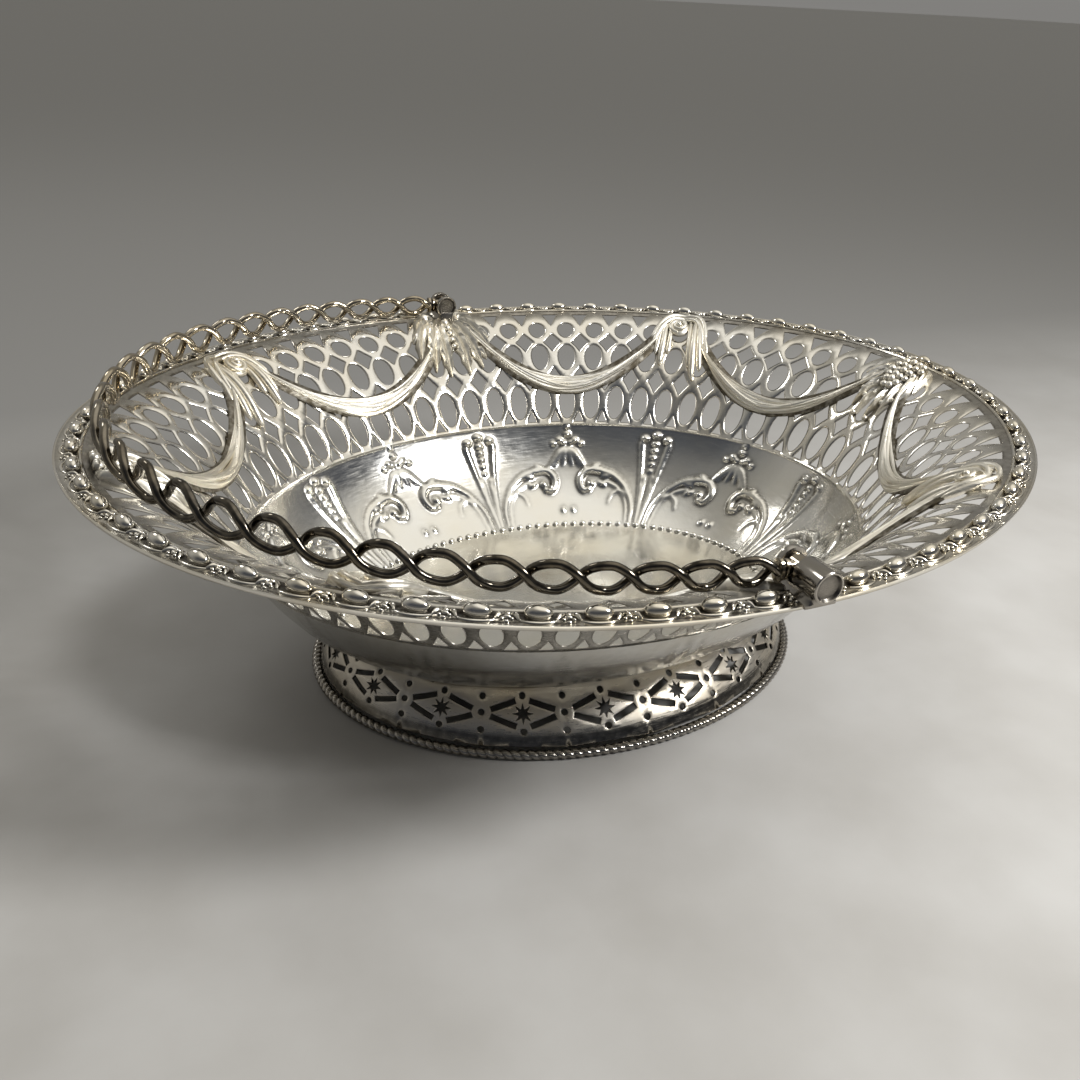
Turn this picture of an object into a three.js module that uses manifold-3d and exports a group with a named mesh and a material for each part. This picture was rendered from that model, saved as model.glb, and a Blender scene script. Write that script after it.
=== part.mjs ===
// Oval pierced cake basket with a swing handle, in silver. Millimetres, +Z up.
// The origin is the middle of the foot, on the table. X runs along the oval and Y across it.
// The handle is drawn folded down on the -X end, and its hinges are at the middle of the long sides.
import * as THREE from "three";
import { mergeVertices } from "three/addons/utils/BufferGeometryUtils.js";
import Module from "manifold-3d";

const wasm = await Module();
wasm.setup();

// Driving dimensions of the dish
const RIM_LENGTH = 360;
const RIM_WIDTH = 298;
const RIM_HEIGHT = 97.6; // outer edge at the hinges
const RIM_END_RISE = 3.7; // how much higher the edge is at the two ends
const SIDE_LENGTH = 248.8; // top of the solid side, where the piercing starts
const SIDE_WIDTH = 189;
const SIDE_HEIGHT = 56.7;
const WALL_ARCH = 12.5; // how high the flaring wall arches over a straight line, at its middle
const FLOOR_LENGTH = 178;
const FLOOR_WIDTH = 120;
const FLOOR_HEIGHT = 20; // upper face of the floor
const SHEET = 1; // silver sheet
const GAP = 0.3; // between pieces that touch

// Driving dimensions of the piercing and the rim
const COLUMNS = 64; // openings in one row, and beads on the rim
const ROW_EDGES = [0.235, 0.455, 0.72, 0.985]; // from the rim's edge, 0, to the solid side, 1
const WALL_TOP = 0.117; // where the pierced sheet starts, on the same scale
const BORDER_DEPTH = 0.112; // inner edge of the cast border, on the same scale
const BORDER_THICKNESS = 2.2;
const RIBBON = 1.7; // metal left between two openings

// Driving dimensions of the foot
const FOOT_TOP_LENGTH = 178;
const FOOT_TOP_WIDTH = 122;
const FOOT_LENGTH = 203.6;
const FOOT_WIDTH = 160.2;
const ROPE_WIDTH = 4.2;
const ROPE_HEIGHT = 3.2;
const LOZENGES = 18;

// Driving dimensions of the handle and its hinges
const BAIL_REACH = 165; // hinge axis to the middle of the bail
const BAIL_HALF_SPAN = 138.6;
const HINGE_HEIGHT = 103.7;
const REST_SLOPE = 0.047; // the folded bail rises a little towards the end
const LOOPS = 30;
const LOOP_PITCH_END = 14;
const LOOP_PITCH_MIDDLE = 18.3;
const STRAP_WIDTH_END = 9.6;
const STRAP_WIDTH_MIDDLE = 13.8;
const WIRE_DIAMETER_END = 2.9;
const WIRE_DIAMETER_MIDDLE = 3.1;
const BARREL_DIAMETER = 9.6;
const BARREL_INNER_END = 134;
const FRONT_BARREL_END = 152; // its outer end
const BACK_BARREL_END = 144.5;
const KNUCKLE_DIAMETER = 6.8; // the handle's own
const KNUCKLE_INNER_END = 136.5;
const KNUCKLE_OUTER_END = 141.4;
const PIN_DIAMETER = 3.2;
const PIN_CLEARANCE = 0.15; // least room round the pin, between the flats of both

// Driving dimensions of the applied ornament
const SWAGS = 8;
const SWAG_WIDTH = 9.4;
const SWAG_THICKNESS = 3.8;
const MOUNT_THICKNESS = 3.2;
const ORNAMENT_LIFT = 0.6; // from the wall, whose facets cut the corners of its curve

const Y_AXIS = new THREE.Vector3(0, 1, 0);
const TURN = 2 * Math.PI;
const lerp = THREE.MathUtils.lerp;

// Angles that divide the rim's oval into COLUMNS equal lengths. Column 0 is at the +X end.
const ARC_STEPS = 4096;
const arcTable = [0];
for (let i = 1; i <= ARC_STEPS; i++) {
  const angle = (TURN * (i - 0.5)) / ARC_STEPS;
  const speed = Math.hypot(RIM_LENGTH * Math.sin(angle), RIM_WIDTH * Math.cos(angle));
  arcTable.push(arcTable[i - 1] + speed);
}

function columnAngle(column) {
  const turns = Math.floor(column / COLUMNS);
  const wanted = (column / COLUMNS - turns) * arcTable[ARC_STEPS];
  let low = 0;
  let high = ARC_STEPS;
  while (high - low > 1) {
    const middle = (low + high) >> 1;
    if (arcTable[middle] <= wanted) low = middle;
    else high = middle;
  }
  const part = (wanted - arcTable[low]) / (arcTable[high] - arcTable[low]);
  return TURN * (turns + (low + part) / ARC_STEPS);
}

// A point of an oval: its size across X and Y, its height and its angle.
function ovalPoint(halfLength, halfWidth, height, angle) {
  return new THREE.Vector3(halfLength * Math.cos(angle), halfWidth * Math.sin(angle), height);
}

// The flaring wall: down is 0 at the rim's edge and 1 at the top of the solid side. It arches, so
// that it is steep at its foot and nearly level at the rim, and equal steps down are equal lengths.
const WALL_EVENNESS = 0.3;
function flareSurface(column, down) {
  const angle = columnAngle(column);
  const inwards = down * (1 + WALL_EVENNESS * (1 - down));
  const rim = ovalPoint(
    RIM_LENGTH / 2,
    RIM_WIDTH / 2,
    RIM_HEIGHT + RIM_END_RISE * Math.cos(angle) ** 2,
    angle,
  );
  const side = ovalPoint(SIDE_LENGTH / 2, SIDE_WIDTH / 2, SIDE_HEIGHT, angle);
  const point = rim.lerp(side, inwards);
  point.z += WALL_ARCH * 4 * inwards * (1 - inwards);
  return point;
}

// The solid side: down is 0 at its top and 1 at the floor. It bulges outwards as one curve.
const BULGE_OUT = 0.7; // place of the curve's control point, as parts of the way out and up
const BULGE_UP = 0.41;
function sideSurface(column, down) {
  const angle = columnAngle(column);
  const up = 1 - down;
  const out = 2 * BULGE_OUT * up * down + up * up;
  const rise = 2 * BULGE_UP * up * down + up * up;
  return ovalPoint(
    lerp(FLOOR_LENGTH, SIDE_LENGTH, out) / 2,
    lerp(FLOOR_WIDTH, SIDE_WIDTH, out) / 2,
    lerp(FLOOR_HEIGHT, SIDE_HEIGHT, rise),
    angle,
  );
}

// The foot's outer face: down is 0 under the dish and 1 at the rope border. It bulges slightly.
const FOOT_BULGE = 1.3;
const FOOT_BULGE_UP = 0.6; // how much of the bulge is upwards
const FOOT_INSET = 3.36; // the band's lower edge inside the rope border's outer edge
function footSurface(column, down) {
  const bulge = FOOT_BULGE * 4 * down * (1 - down);
  return ovalPoint(
    lerp(FOOT_TOP_LENGTH / 2, FOOT_LENGTH / 2 - FOOT_INSET, down) + bulge,
    lerp(FOOT_TOP_WIDTH / 2, FOOT_WIDTH / 2 - FOOT_INSET, down) + bulge,
    lerp(FLOOR_HEIGHT - SHEET - GAP, ROPE_HEIGHT + GAP, down) + FOOT_BULGE_UP * bulge,
    columnAngle(column),
  );
}

// A surface's unit normal, on the side that faces up.
const STEP = 0.01;
function normalOf(surface, column, down) {
  const across = surface(column + STEP, down).sub(surface(column - STEP, down));
  const along = surface(column, down + STEP).sub(surface(column, down - STEP));
  const normal = across.cross(along).normalize();
  return normal.z < 0 ? normal.negate() : normal;
}

// The point that stands lift above a surface.
function lifted(surface, column, down, lift) {
  return surface(column, down).addScaledVector(normalOf(surface, column, down), lift);
}

// A closed geometry from points and triangles, turned to face outwards.
function closedGeometry(points, triangles) {
  const volume = triangles.reduce(
    (sum, [a, b, c]) => sum + points[a].dot(points[b].clone().cross(points[c])),
    0,
  );
  const index = triangles.flatMap(([a, b, c]) => (volume < 0 ? [a, c, b] : [a, b, c]));
  const geometry = new THREE.BufferGeometry();
  geometry.setAttribute(
    "position",
    new THREE.Float32BufferAttribute(
      points.flatMap((p) => p.toArray()),
      3,
    ),
  );
  geometry.setIndex(index);
  return geometry;
}

// A ring swept round the oval: sectionAt(column) gives the corners of its section there.
function ringGeometry(sectionAt, stations, firstColumn = 0) {
  const sections = Array.from({ length: stations }, (_, i) =>
    sectionAt(firstColumn + (i * COLUMNS) / stations),
  );
  const corners = sections[0].length;
  const triangles = [];
  for (let i = 0; i < stations; i++)
    for (let j = 0; j < corners; j++) {
      const here = i * corners;
      const next = ((i + 1) % stations) * corners;
      const k = (j + 1) % corners;
      triangles.push([here + j, next + j, next + k], [here + j, next + k, here + k]);
    }
  return closedGeometry(sections.flat(), triangles);
}

// A bar swept through sections that all have the same number of corners, with flat ends.
function barGeometry(sections) {
  const corners = sections[0].length;
  const last = (sections.length - 1) * corners;
  const triangles = [];
  for (let i = 0; i + 1 < sections.length; i++)
    for (let j = 0; j < corners; j++) {
      const here = i * corners;
      const next = here + corners;
      const k = (j + 1) % corners;
      triangles.push([here + j, next + j, next + k], [here + j, next + k, here + k]);
    }
  for (let j = 1; j + 1 < corners; j++)
    triangles.push([0, j, j + 1], [last, last + j + 1, last + j]);
  return closedGeometry(sections.flat(), triangles);
}

// An outline drawn on a surface, in [column, down] pairs, and raised between two lifts. Its
// triangles are each split in four, so that it follows the surface's curve.
function raisedGeometry(surface, outline, low, high) {
  const flat = outline.map(([column, down]) => new THREE.Vector2(column, down));
  const places = [...outline];
  const middles = new Map();
  const middle = (a, b) => {
    const name = [Math.min(a, b), Math.max(a, b)].join();
    if (!middles.has(name)) {
      const between = [0, 1].map((k) => (places[a][k] + places[b][k]) / 2);
      middles.set(name, places.push(between) - 1);
    }
    return middles.get(name);
  };
  const faces = THREE.ShapeUtils.triangulateShape(flat, []).flatMap(([a, b, c]) => {
    const [d, e, f] = [middle(a, b), middle(b, c), middle(c, a)];
    return [
      [a, d, f],
      [d, b, e],
      [f, e, c],
      [d, e, f],
    ];
  });
  const loop = outline.flatMap((_, i) => [i, middle(i, (i + 1) % outline.length)]);
  const n = places.length;
  const points = [low, high].flatMap((lift) =>
    places.map(([column, down]) => lifted(surface, column, down, lift)),
  );
  const triangles = faces.flatMap(([a, b, c]) => [
    [a, b, c],
    [n + a, n + c, n + b],
  ]);
  const clockwise = THREE.ShapeUtils.isClockWise(flat);
  loop.forEach((i, k) => {
    const j = loop[(k + 1) % loop.length];
    if (clockwise) triangles.push([i, j, n + j], [i, n + j, n + i]);
    else triangles.push([j, i, n + i], [j, n + i, n + j]);
  });
  return closedGeometry(points, triangles);
}

function toSolid(geometry) {
  const bare = geometry.index ? geometry.toNonIndexed() : geometry.clone();
  bare.deleteAttribute("normal");
  bare.deleteAttribute("uv");
  const merged = mergeVertices(bare, 1e-4);
  return new wasm.Manifold(
    new wasm.Mesh({
      numProp: 3,
      vertProperties: merged.getAttribute("position").array,
      triVerts: new Uint32Array(merged.index.array),
    }),
  );
}

function fromSolid(solid) {
  const mesh = solid.getMesh();
  const geometry = new THREE.BufferGeometry();
  geometry.setAttribute("position", new THREE.BufferAttribute(mesh.vertProperties, 3));
  geometry.setIndex(new THREE.BufferAttribute(mesh.triVerts, 1));
  return geometry;
}

function join(geometries) {
  return fromSolid(geometries.map(toSolid).reduce((sum, solid) => sum.add(solid)));
}

function cut(geometry, cutters) {
  return fromSolid(cutters.map(toSolid).reduce((rest, tool) => rest.subtract(tool), toSolid(geometry)));
}

const finish = (color, roughness) =>
  new THREE.MeshStandardMaterial({ color, roughness, metalness: 1 });
const SILVER_SHEET = finish(0xd6d3c9, 0.22);
const SILVER_CAST = finish(0xcdc8ba, 0.28);
const SILVER_HANDLE = finish(0xbdbab2, 0.2);
const STEEL_PIN = finish(0xa9a8a4, 0.35);

function piece(name, geometry, material) {
  const mesh = new THREE.Mesh(geometry, material);
  mesh.geometry.computeVertexNormals();
  mesh.name = name;
  return mesh;
}

// Dish: one raised sheet, the floor and the solid side
const SIDE_STEPS = 5;

function dishGeometry() {
  const levels = Array.from({ length: SIDE_STEPS + 1 }, (_, i) => 1 - i / SIDE_STEPS);
  const points = [];
  const triangles = [];
  for (let i = 0; i < COLUMNS; i++) {
    const column = i + 0.5;
    const inner = levels.map((down) => sideSurface(column, down));
    const outer = levels.map((down) => lifted(sideSurface, column, down, -SHEET));
    outer[0] = inner[0].clone().setZ(FLOOR_HEIGHT - SHEET);
    points.push(...inner, ...outer.reverse());
  }
  const corners = 2 * levels.length;
  const top = points.push(new THREE.Vector3(0, 0, FLOOR_HEIGHT)) - 1;
  const bottom = points.push(new THREE.Vector3(0, 0, FLOOR_HEIGHT - SHEET)) - 1;
  for (let i = 0; i < COLUMNS; i++) {
    const here = i * corners;
    const next = ((i + 1) % COLUMNS) * corners;
    for (let j = 0; j + 1 < corners; j++)
      triangles.push(
        [here + j, next + j, next + j + 1],
        [here + j, next + j + 1, here + j + 1],
      );
    triangles.push([top, next, here], [bottom, here + corners - 1, next + corners - 1]);
  }
  return closedGeometry(points, triangles);
}

// Pierced wall: each cell has four outer corners, shared with its neighbours, and a six-sided hole
const HOLE_SIDES = 6;
const OUTER_CORNERS = [
  [0.5, 0],
  [0.5, 1],
  [-0.5, 1],
  [-0.5, 0],
];

function cellPoints(column, row, lift) {
  const top = ROW_EDGES[row];
  const bottom = ROW_EDGES[row + 1];
  const wallHeight = flareSurface(column, 0).distanceTo(flareSurface(column, 1));
  const pitch = flareSurface(column - 0.5, top).distanceTo(flareSurface(column + 0.5, top));
  const halfHeight = (bottom - top) / 2 - RIBBON / wallHeight / 2;
  const halfWidth = 0.5 - RIBBON / pitch / 2;
  const start = row === 0 ? WALL_TOP : top;
  const outer = OUTER_CORNERS.map(([side, end]) => [column + side, end ? bottom : start]);
  const hole = Array.from({ length: HOLE_SIDES }, (_, i) => {
    const angle = -Math.PI / 2 + (TURN * i) / HOLE_SIDES;
    return [
      column + halfWidth * Math.cos(angle),
      (top + bottom) / 2 + halfHeight * Math.sin(angle),
    ];
  });
  return [outer, hole].map((loop) => loop.map(([c, d]) => lifted(flareSurface, c, d, lift)));
}

// Triangles of a cell's face: which outer corner each stretch of the hole is joined to.
// Outer corners count up from the top right. Hole corners count up from the top, going right.
const CELL_FACE = [
  ["o0", "h0", "h1"],
  ["o0", "h1", "h2"],
  ["o0", "h2", "o1"],
  ["o1", "h2", "h3"],
  ["o1", "h3", "o2"],
  ["o2", "h3", "h4"],
  ["o2", "h4", "h5"],
  ["o2", "h5", "o3"],
  ["o3", "h5", "h0"],
  ["o3", "h0", "o0"],
];

function piercedWallGeometry() {
  const points = [];
  const triangles = [];
  const numbers = new Map(); // a point's number by its name, so that cells share their corners
  const numberOf = (name, point) => {
    if (!numbers.has(name)) numbers.set(name, points.push(point) - 1);
    return numbers.get(name);
  };
  const rows = ROW_EDGES.length - 1;
  for (let row = 0; row < rows; row++)
    for (let column = 0; column < COLUMNS; column++) {
      const [under, over] = [-SHEET, 0].map((lift) => {
        const [outer, hole] = cellPoints(column, row, lift);
        const index = {};
        outer.forEach((point, i) => {
          const [side, end] = OUTER_CORNERS[i];
          const corner = (column + side + 0.5) % COLUMNS;
          index["o" + i] = numberOf(["corner", corner, row + end, lift].join(), point);
        });
        hole.forEach((point, i) => {
          index["h" + i] = numberOf(["hole", column, row, i, lift].join(), point);
        });
        return index;
      });
      for (const [a, b, c] of CELL_FACE) {
        triangles.push([over[a], over[b], over[c]]);
        triangles.push([under[a], under[c], under[b]]);
      }
      const wall = (a, b) =>
        triangles.push([over[a], under[a], under[b]], [over[a], under[b], over[b]]);
      for (let i = 0; i < HOLE_SIDES; i++) wall("h" + i, "h" + ((i + 1) % HOLE_SIDES));
      if (row === 0) wall("o0", "o3");
      if (row === rows - 1) wall("o2", "o1");
    }
  return closedGeometry(points, triangles);
}

// Cast border: a flat flange at the edge and a raised band where the beads stand. It is notched
// for the hinges, whose barrels lie lower than its top.
const BORDER_SECTION = [
  [0, -0.8],
  [0, 0.3],
  [0.045, 0.8],
  [0.058, BORDER_THICKNESS],
  [0.092, BORDER_THICKNESS],
  [BORDER_DEPTH, 0.6],
  [BORDER_DEPTH, -0.8],
];
const NOTCH_HEIGHT = 98.4; // floor of the notch
const NOTCH_WIDTH = 7.6;
const NOTCH_DEPTH = 12; // well past the border's top

function borderSection(column) {
  return BORDER_SECTION.map(([down, lift]) => lifted(flareSurface, column, down, lift));
}

function borderGeometry() {
  const notches = [-1, 1].map((side) =>
    new THREE.BoxGeometry(NOTCH_WIDTH, RIM_WIDTH / 4, NOTCH_DEPTH).translate(
      0,
      (side * RIM_WIDTH) / 2,
      NOTCH_HEIGHT + NOTCH_DEPTH / 2,
    ),
  );
  return cut(ringGeometry(borderSection, COLUMNS, 0.5), notches);
}

// Swags: reeded drapery that hangs from one mount to the next on the inner face of the wall
const SWAG_STEPS = 12;
const SWAG_SIDES = 6;
const SWAG_TOP = 0.287;
const SWAG_DROP = 0.468;
const SWAG_FULLNESS = 0.7; // under 1 makes the curve steeper at its ends and flatter in its middle
const SWAG_HANG = 0.5; // columns from the middle of a mount to where the curve starts
const SWAG_END = 1.35; // columns left free at each end for the mounts
const SWAG_END_SIZE = 0.55; // section of the ends against the middle

function swagGeometry(firstColumn) {
  const width = COLUMNS / SWAGS;
  const centre = (part, lift) => {
    const place = lerp(SWAG_END, width - SWAG_END, part);
    const share = (place - SWAG_HANG) / (width - 2 * SWAG_HANG);
    const sag = (4 * share * (1 - share)) ** SWAG_FULLNESS;
    return lifted(flareSurface, firstColumn + place, SWAG_TOP + SWAG_DROP * sag, lift);
  };
  const sections = [];
  for (let i = 0; i <= SWAG_STEPS; i++) {
    const part = i / SWAG_STEPS;
    const size = lerp(SWAG_END_SIZE, 1, Math.sin(Math.PI * part));
    const height = (SWAG_THICKNESS * size) / 2;
    const middle = centre(part, ORNAMENT_LIFT + height);
    const along = centre(part + STEP, 0).sub(centre(part - STEP, 0)).normalize();
    const up = centre(part, 1).sub(centre(part, 0)).normalize();
    const across = along.clone().cross(up).normalize();
    sections.push(
      Array.from({ length: SWAG_SIDES }, (_, j) => {
        const angle = (TURN * j) / SWAG_SIDES;
        return middle
          .clone()
          .addScaledVector(across, (SWAG_WIDTH / 2) * size * Math.cos(angle))
          .addScaledVector(up, height * Math.sin(angle));
      }),
    );
  }
  return barGeometry(sections);
}

// Cast mounts that hide the ends of the swags, as half outlines in [columns, down] from the top.
// The leaf mounts are notched for the hinge brackets.
const LEAF_OUTLINE = [
  [0.32, 0.29],
  [0.32, 0.22],
  [1, 0.25],
  [1.14, 0.42],
  [1.05, 0.55],
  [0.75, 0.52],
  [0.6, 0.64],
  [0.3, 0.58],
  [0, 0.6],
];
const VOLUTE_OUTLINE = [
  [0.45, 0.2],
  [1, 0.27],
  [1.1, 0.42],
  [1.06, 0.57],
  [0.8, 0.62],
  [0.55, 0.52],
  [0.4, 0.4],
  [0, 0.44],
];
const BERRY_OUTLINE = [
  [0.4, 0.19],
  [0.9, 0.22],
  [1.1, 0.34],
  [0.9, 0.5],
  [0.4, 0.49],
  [0, 0.56],
];

function mountGeometry(column, half) {
  const right = half.map(([c, d]) => [column + c, d]);
  const left = half
    .filter(([c]) => c > 0)
    .map(([c, d]) => [column - c, d])
    .reverse();
  return raisedGeometry(
    flareSurface,
    [...right, ...left],
    ORNAMENT_LIFT,
    ORNAMENT_LIFT + MOUNT_THICKNESS,
  );
}

// Foot band: a pierced skirt with a lozenge trellis of oblong slots and a hole in each lozenge.
// Its facets meet at the lozenges' points, so each slot lies in one facet.
const FOOT_STATIONS = 2 * LOZENGES;
const SLOT_WIDTH = 1.9;
const SLOT_START = 0.24; // along a lozenge's side, from the crossing to its point
const SLOT_END = 0.82;
const TRELLIS_TOP = 0.16;
const TRELLIS_MIDDLE = 0.42;
const TRELLIS_BOTTOM = 0.68;
const STAR_HALF = 2.1;
const CUTTER_DEPTH = 6; // well through the sheet on both sides

function footSection(column) {
  const levels = [0, TRELLIS_MIDDLE, 1];
  const outer = levels.map((down) => footSurface(column, down));
  const inner = levels.map((down) => lifted(footSurface, column, down, -SHEET));
  for (const end of [0, levels.length - 1]) inner[end].setZ(outer[end].z);
  return [...outer, ...inner.reverse()];
}

// A box through the foot band, as long as the stretch between two of its points.
function slotCutter(from, to, width) {
  const [a, b] = [from, to].map(([column, down]) => footSurface(column, down));
  const middle = [(from[0] + to[0]) / 2, (from[1] + to[1]) / 2];
  const normal = normalOf(footSurface, ...middle);
  const along = b.clone().sub(a);
  const length = along.length();
  along.normalize();
  const across = normal.clone().cross(along).normalize();
  const depth = along.clone().cross(across).normalize();
  return new THREE.BoxGeometry(length, width, CUTTER_DEPTH).applyMatrix4(
    new THREE.Matrix4().makeBasis(along, across, depth).setPosition(a.lerp(b, 0.5)),
  );
}

function footCutters() {
  const pitch = COLUMNS / LOZENGES;
  const cutters = [];
  for (let i = 0; i < LOZENGES; i++) {
    const centre = i * pitch;
    for (const side of [-1, 1])
      for (const tip of [TRELLIS_TOP, TRELLIS_BOTTOM]) {
        const place = (part) => [
          centre + (side * pitch * (1 - part)) / 2,
          lerp(TRELLIS_MIDDLE, tip, part),
        ];
        cutters.push(slotCutter(place(SLOT_START), place(SLOT_END), SLOT_WIDTH));
      }
    const half = STAR_HALF / footSurface(centre, 0).distanceTo(footSurface(centre, 1));
    cutters.push(
      slotCutter([centre, TRELLIS_MIDDLE - half], [centre, TRELLIS_MIDDLE + half], 2 * STAR_HALF),
    );
  }
  return cutters;
}

// Rope border: stands on the table, so its underside is flat
const ROPE_SECTION = [
  [1, 0],
  [0.1, 0],
  [0, 0.4],
  [0.22, 1],
  [0.8, 1],
  [1, 0.5],
];

function ropeSection(column) {
  const angle = columnAngle(column);
  return ROPE_SECTION.map(([inwards, up]) =>
    ovalPoint(
      FOOT_LENGTH / 2 - ROPE_WIDTH * inwards,
      FOOT_WIDTH / 2 - ROPE_WIDTH * inwards,
      ROPE_HEIGHT * up,
      angle,
    ),
  );
}

// Handle: a half-oval bail of two wires twisted round each other, lying in a plane through the axis
const BAIL_STEPS = 720;
const WIRE_STEPS_PER_LOOP = 5;
const WIRE_SIDES = 5;
const WIRE_SPREAD = 3.6; // between the wires where they cross, face to face across the strap
const WIRE_START = 8.2; // hinge axis to the ends of the wires
const bailOut = new THREE.Vector3(-1, 0, REST_SLOPE).normalize();
const bailUp = new THREE.Vector3(REST_SLOPE, 0, 1).normalize();

function bailPoint(angle) {
  return new THREE.Vector3(0, 0, HINGE_HEIGHT)
    .addScaledVector(bailOut, BAIL_REACH * Math.cos(angle))
    .addScaledVector(Y_AXIS, BAIL_HALF_SPAN * Math.sin(angle));
}

// Places along the bail, by equal lengths, with the twist's angle at each.
function bailStations() {
  const end = Math.acos(WIRE_START / BAIL_REACH);
  const lengths = [0];
  for (let i = 1; i <= BAIL_STEPS; i++) {
    const step = (k) => bailPoint(lerp(-end, end, k / BAIL_STEPS));
    lengths.push(lengths[i - 1] + step(i).distanceTo(step(i - 1)));
  }
  const total = lengths[BAIL_STEPS];
  const twist = [0];
  for (let i = 1; i <= BAIL_STEPS; i++) {
    const bulk = Math.sin((Math.PI * lengths[i]) / total) ** 2;
    const pitch = lerp(LOOP_PITCH_END, LOOP_PITCH_MIDDLE, bulk);
    twist.push(twist[i - 1] + (lengths[i] - lengths[i - 1]) / pitch);
  }
  const loops = twist.map((t) => (t * LOOPS) / twist[BAIL_STEPS]);
  const count = LOOPS * WIRE_STEPS_PER_LOOP;
  return Array.from({ length: count + 1 }, (_, i) => {
    const wanted = i / WIRE_STEPS_PER_LOOP;
    const k = Math.max(1, loops.findIndex((t) => t >= wanted - 1e-9));
    const part = (wanted - loops[k - 1]) / (loops[k] - loops[k - 1]);
    const along = (k - 1 + part) / BAIL_STEPS;
    return {
      angle: lerp(-end, end, along),
      twist: Math.PI * (0.5 + wanted),
      bulk: Math.sin(Math.PI * along) ** 2,
    };
  });
}

// side is 1 for one wire and -1 for the other
function wireGeometry(side) {
  const stations = bailStations();
  const centres = stations.map(({ angle, twist, bulk }) => {
    const wire = lerp(WIRE_DIAMETER_END, WIRE_DIAMETER_MIDDLE, bulk);
    const halfWidth = (lerp(STRAP_WIDTH_END, STRAP_WIDTH_MIDDLE, bulk) - wire) / 2;
    const along = bailPoint(angle + STEP).sub(bailPoint(angle - STEP)).normalize();
    const outwards = along.clone().cross(bailUp).normalize();
    return bailPoint(angle)
      .addScaledVector(bailUp, side * halfWidth * Math.cos(twist))
      .addScaledVector(outwards, (side * WIRE_SPREAD * Math.sin(twist)) / 2);
  });
  const last = centres.length - 1;
  const sections = centres.map((centre, i) => {
    const wire = lerp(WIRE_DIAMETER_END, WIRE_DIAMETER_MIDDLE, stations[i].bulk);
    const along = centres[Math.min(i + 1, last)].clone().sub(centres[Math.max(i - 1, 0)]).normalize();
    const outwards = along.clone().cross(bailUp).normalize();
    const across = outwards.clone().cross(along).normalize();
    return Array.from({ length: WIRE_SIDES }, (_, j) => {
      const angle = (TURN * j) / WIRE_SIDES;
      return centre
        .clone()
        .addScaledVector(outwards, (wire / 2) * Math.cos(angle))
        .addScaledVector(across, (wire / 2) * Math.sin(angle));
    });
  });
  return barGeometry(sections);
}

// Hinges: side is -1 at the front, 1 at the back. Cylinders here lie along Y.
const BARREL_SIDES = 20;
const barrelEnd = (side) => (side < 0 ? FRONT_BARREL_END : BACK_BARREL_END);

function barrel(side, from, to, radius, sides = BARREL_SIDES) {
  return new THREE.CylinderGeometry(radius, radius, to - from, sides).translate(
    0,
    (side * (from + to)) / 2,
    HINGE_HEIGHT,
  );
}

const TONGUE_ROOM = 1.3; // to the wires' ends, which are cut at a slant
const JOINED = 1; // how far the tongue reaches into the knuckle
const TONGUE_THICKNESS = 4.6;
const TONGUE_HEIGHT = 5.6;
const BORE_SIDES = 16;
const BORE_EXCESS = 1; // how far the bore's cutter sticks out at each end
const boreRadius = PIN_DIAMETER / 2 / Math.cos(Math.PI / BORE_SIDES) + PIN_CLEARANCE;

function terminalGeometry(side) {
  const root = KNUCKLE_DIAMETER / 2 - JOINED;
  const reach = WIRE_START - TONGUE_ROOM;
  const tongue = new THREE.BoxGeometry(reach - root, TONGUE_THICKNESS, TONGUE_HEIGHT)
    .translate((root + reach) / 2, 0, 0)
    .applyMatrix4(
      new THREE.Matrix4()
        .makeBasis(bailOut, Y_AXIS.clone().negate(), bailUp)
        .setPosition(0, (side * (KNUCKLE_INNER_END + KNUCKLE_OUTER_END)) / 2, HINGE_HEIGHT),
    );
  const knuckle = barrel(side, KNUCKLE_INNER_END, KNUCKLE_OUTER_END, KNUCKLE_DIAMETER / 2);
  const bore = barrel(
    side,
    KNUCKLE_INNER_END - BORE_EXCESS,
    KNUCKLE_OUTER_END + BORE_EXCESS,
    boreRadius,
    BORE_SIDES,
  );
  return cut(join([knuckle, tongue]), [bore]);
}

// Bracket: two fixed knuckles on a web that stands on the border and the wall
const WEB_HALF_WIDTH = 3.4;
const WEB_ROOM = 0.5; // under the handle's knuckle
const WEB_TOP = HINGE_HEIGHT - KNUCKLE_DIAMETER / 2 - WEB_ROOM;
const WEB_OUTER_END = 147.5;
const WEB_STEP = 141; // from here inwards it stands on the wall
const WEB_ON_WALL = [0.13, 0.18, 0.235]; // places down of its lower edge there
const PIN_END_ROOM = 0.6; // how far the pin's ends sit inside the barrel
const HINGE_ROOM = 0.3; // between neighbouring knuckles
const CHEEK_SINK = 0.1; // how far the cheeks reach into the web

function webGeometry(side, end) {
  const column = (side < 0 ? 3 : 1) * (COLUMNS / 4);
  const onWall = WEB_ON_WALL.map((down) => lifted(flareSurface, column, down, ORNAMENT_LIFT));
  const onNotch = NOTCH_HEIGHT + GAP;
  const section = (x) => [
    new THREE.Vector3(x, side * end, onNotch),
    new THREE.Vector3(x, side * WEB_STEP, onNotch),
    ...onWall.map((p) => new THREE.Vector3(x, p.y, p.z)),
    new THREE.Vector3(x, side * BARREL_INNER_END, WEB_TOP),
    new THREE.Vector3(x, side * end, WEB_TOP),
  ];
  return barGeometry([section(-WEB_HALF_WIDTH), section(WEB_HALF_WIDTH)]);
}

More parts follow.
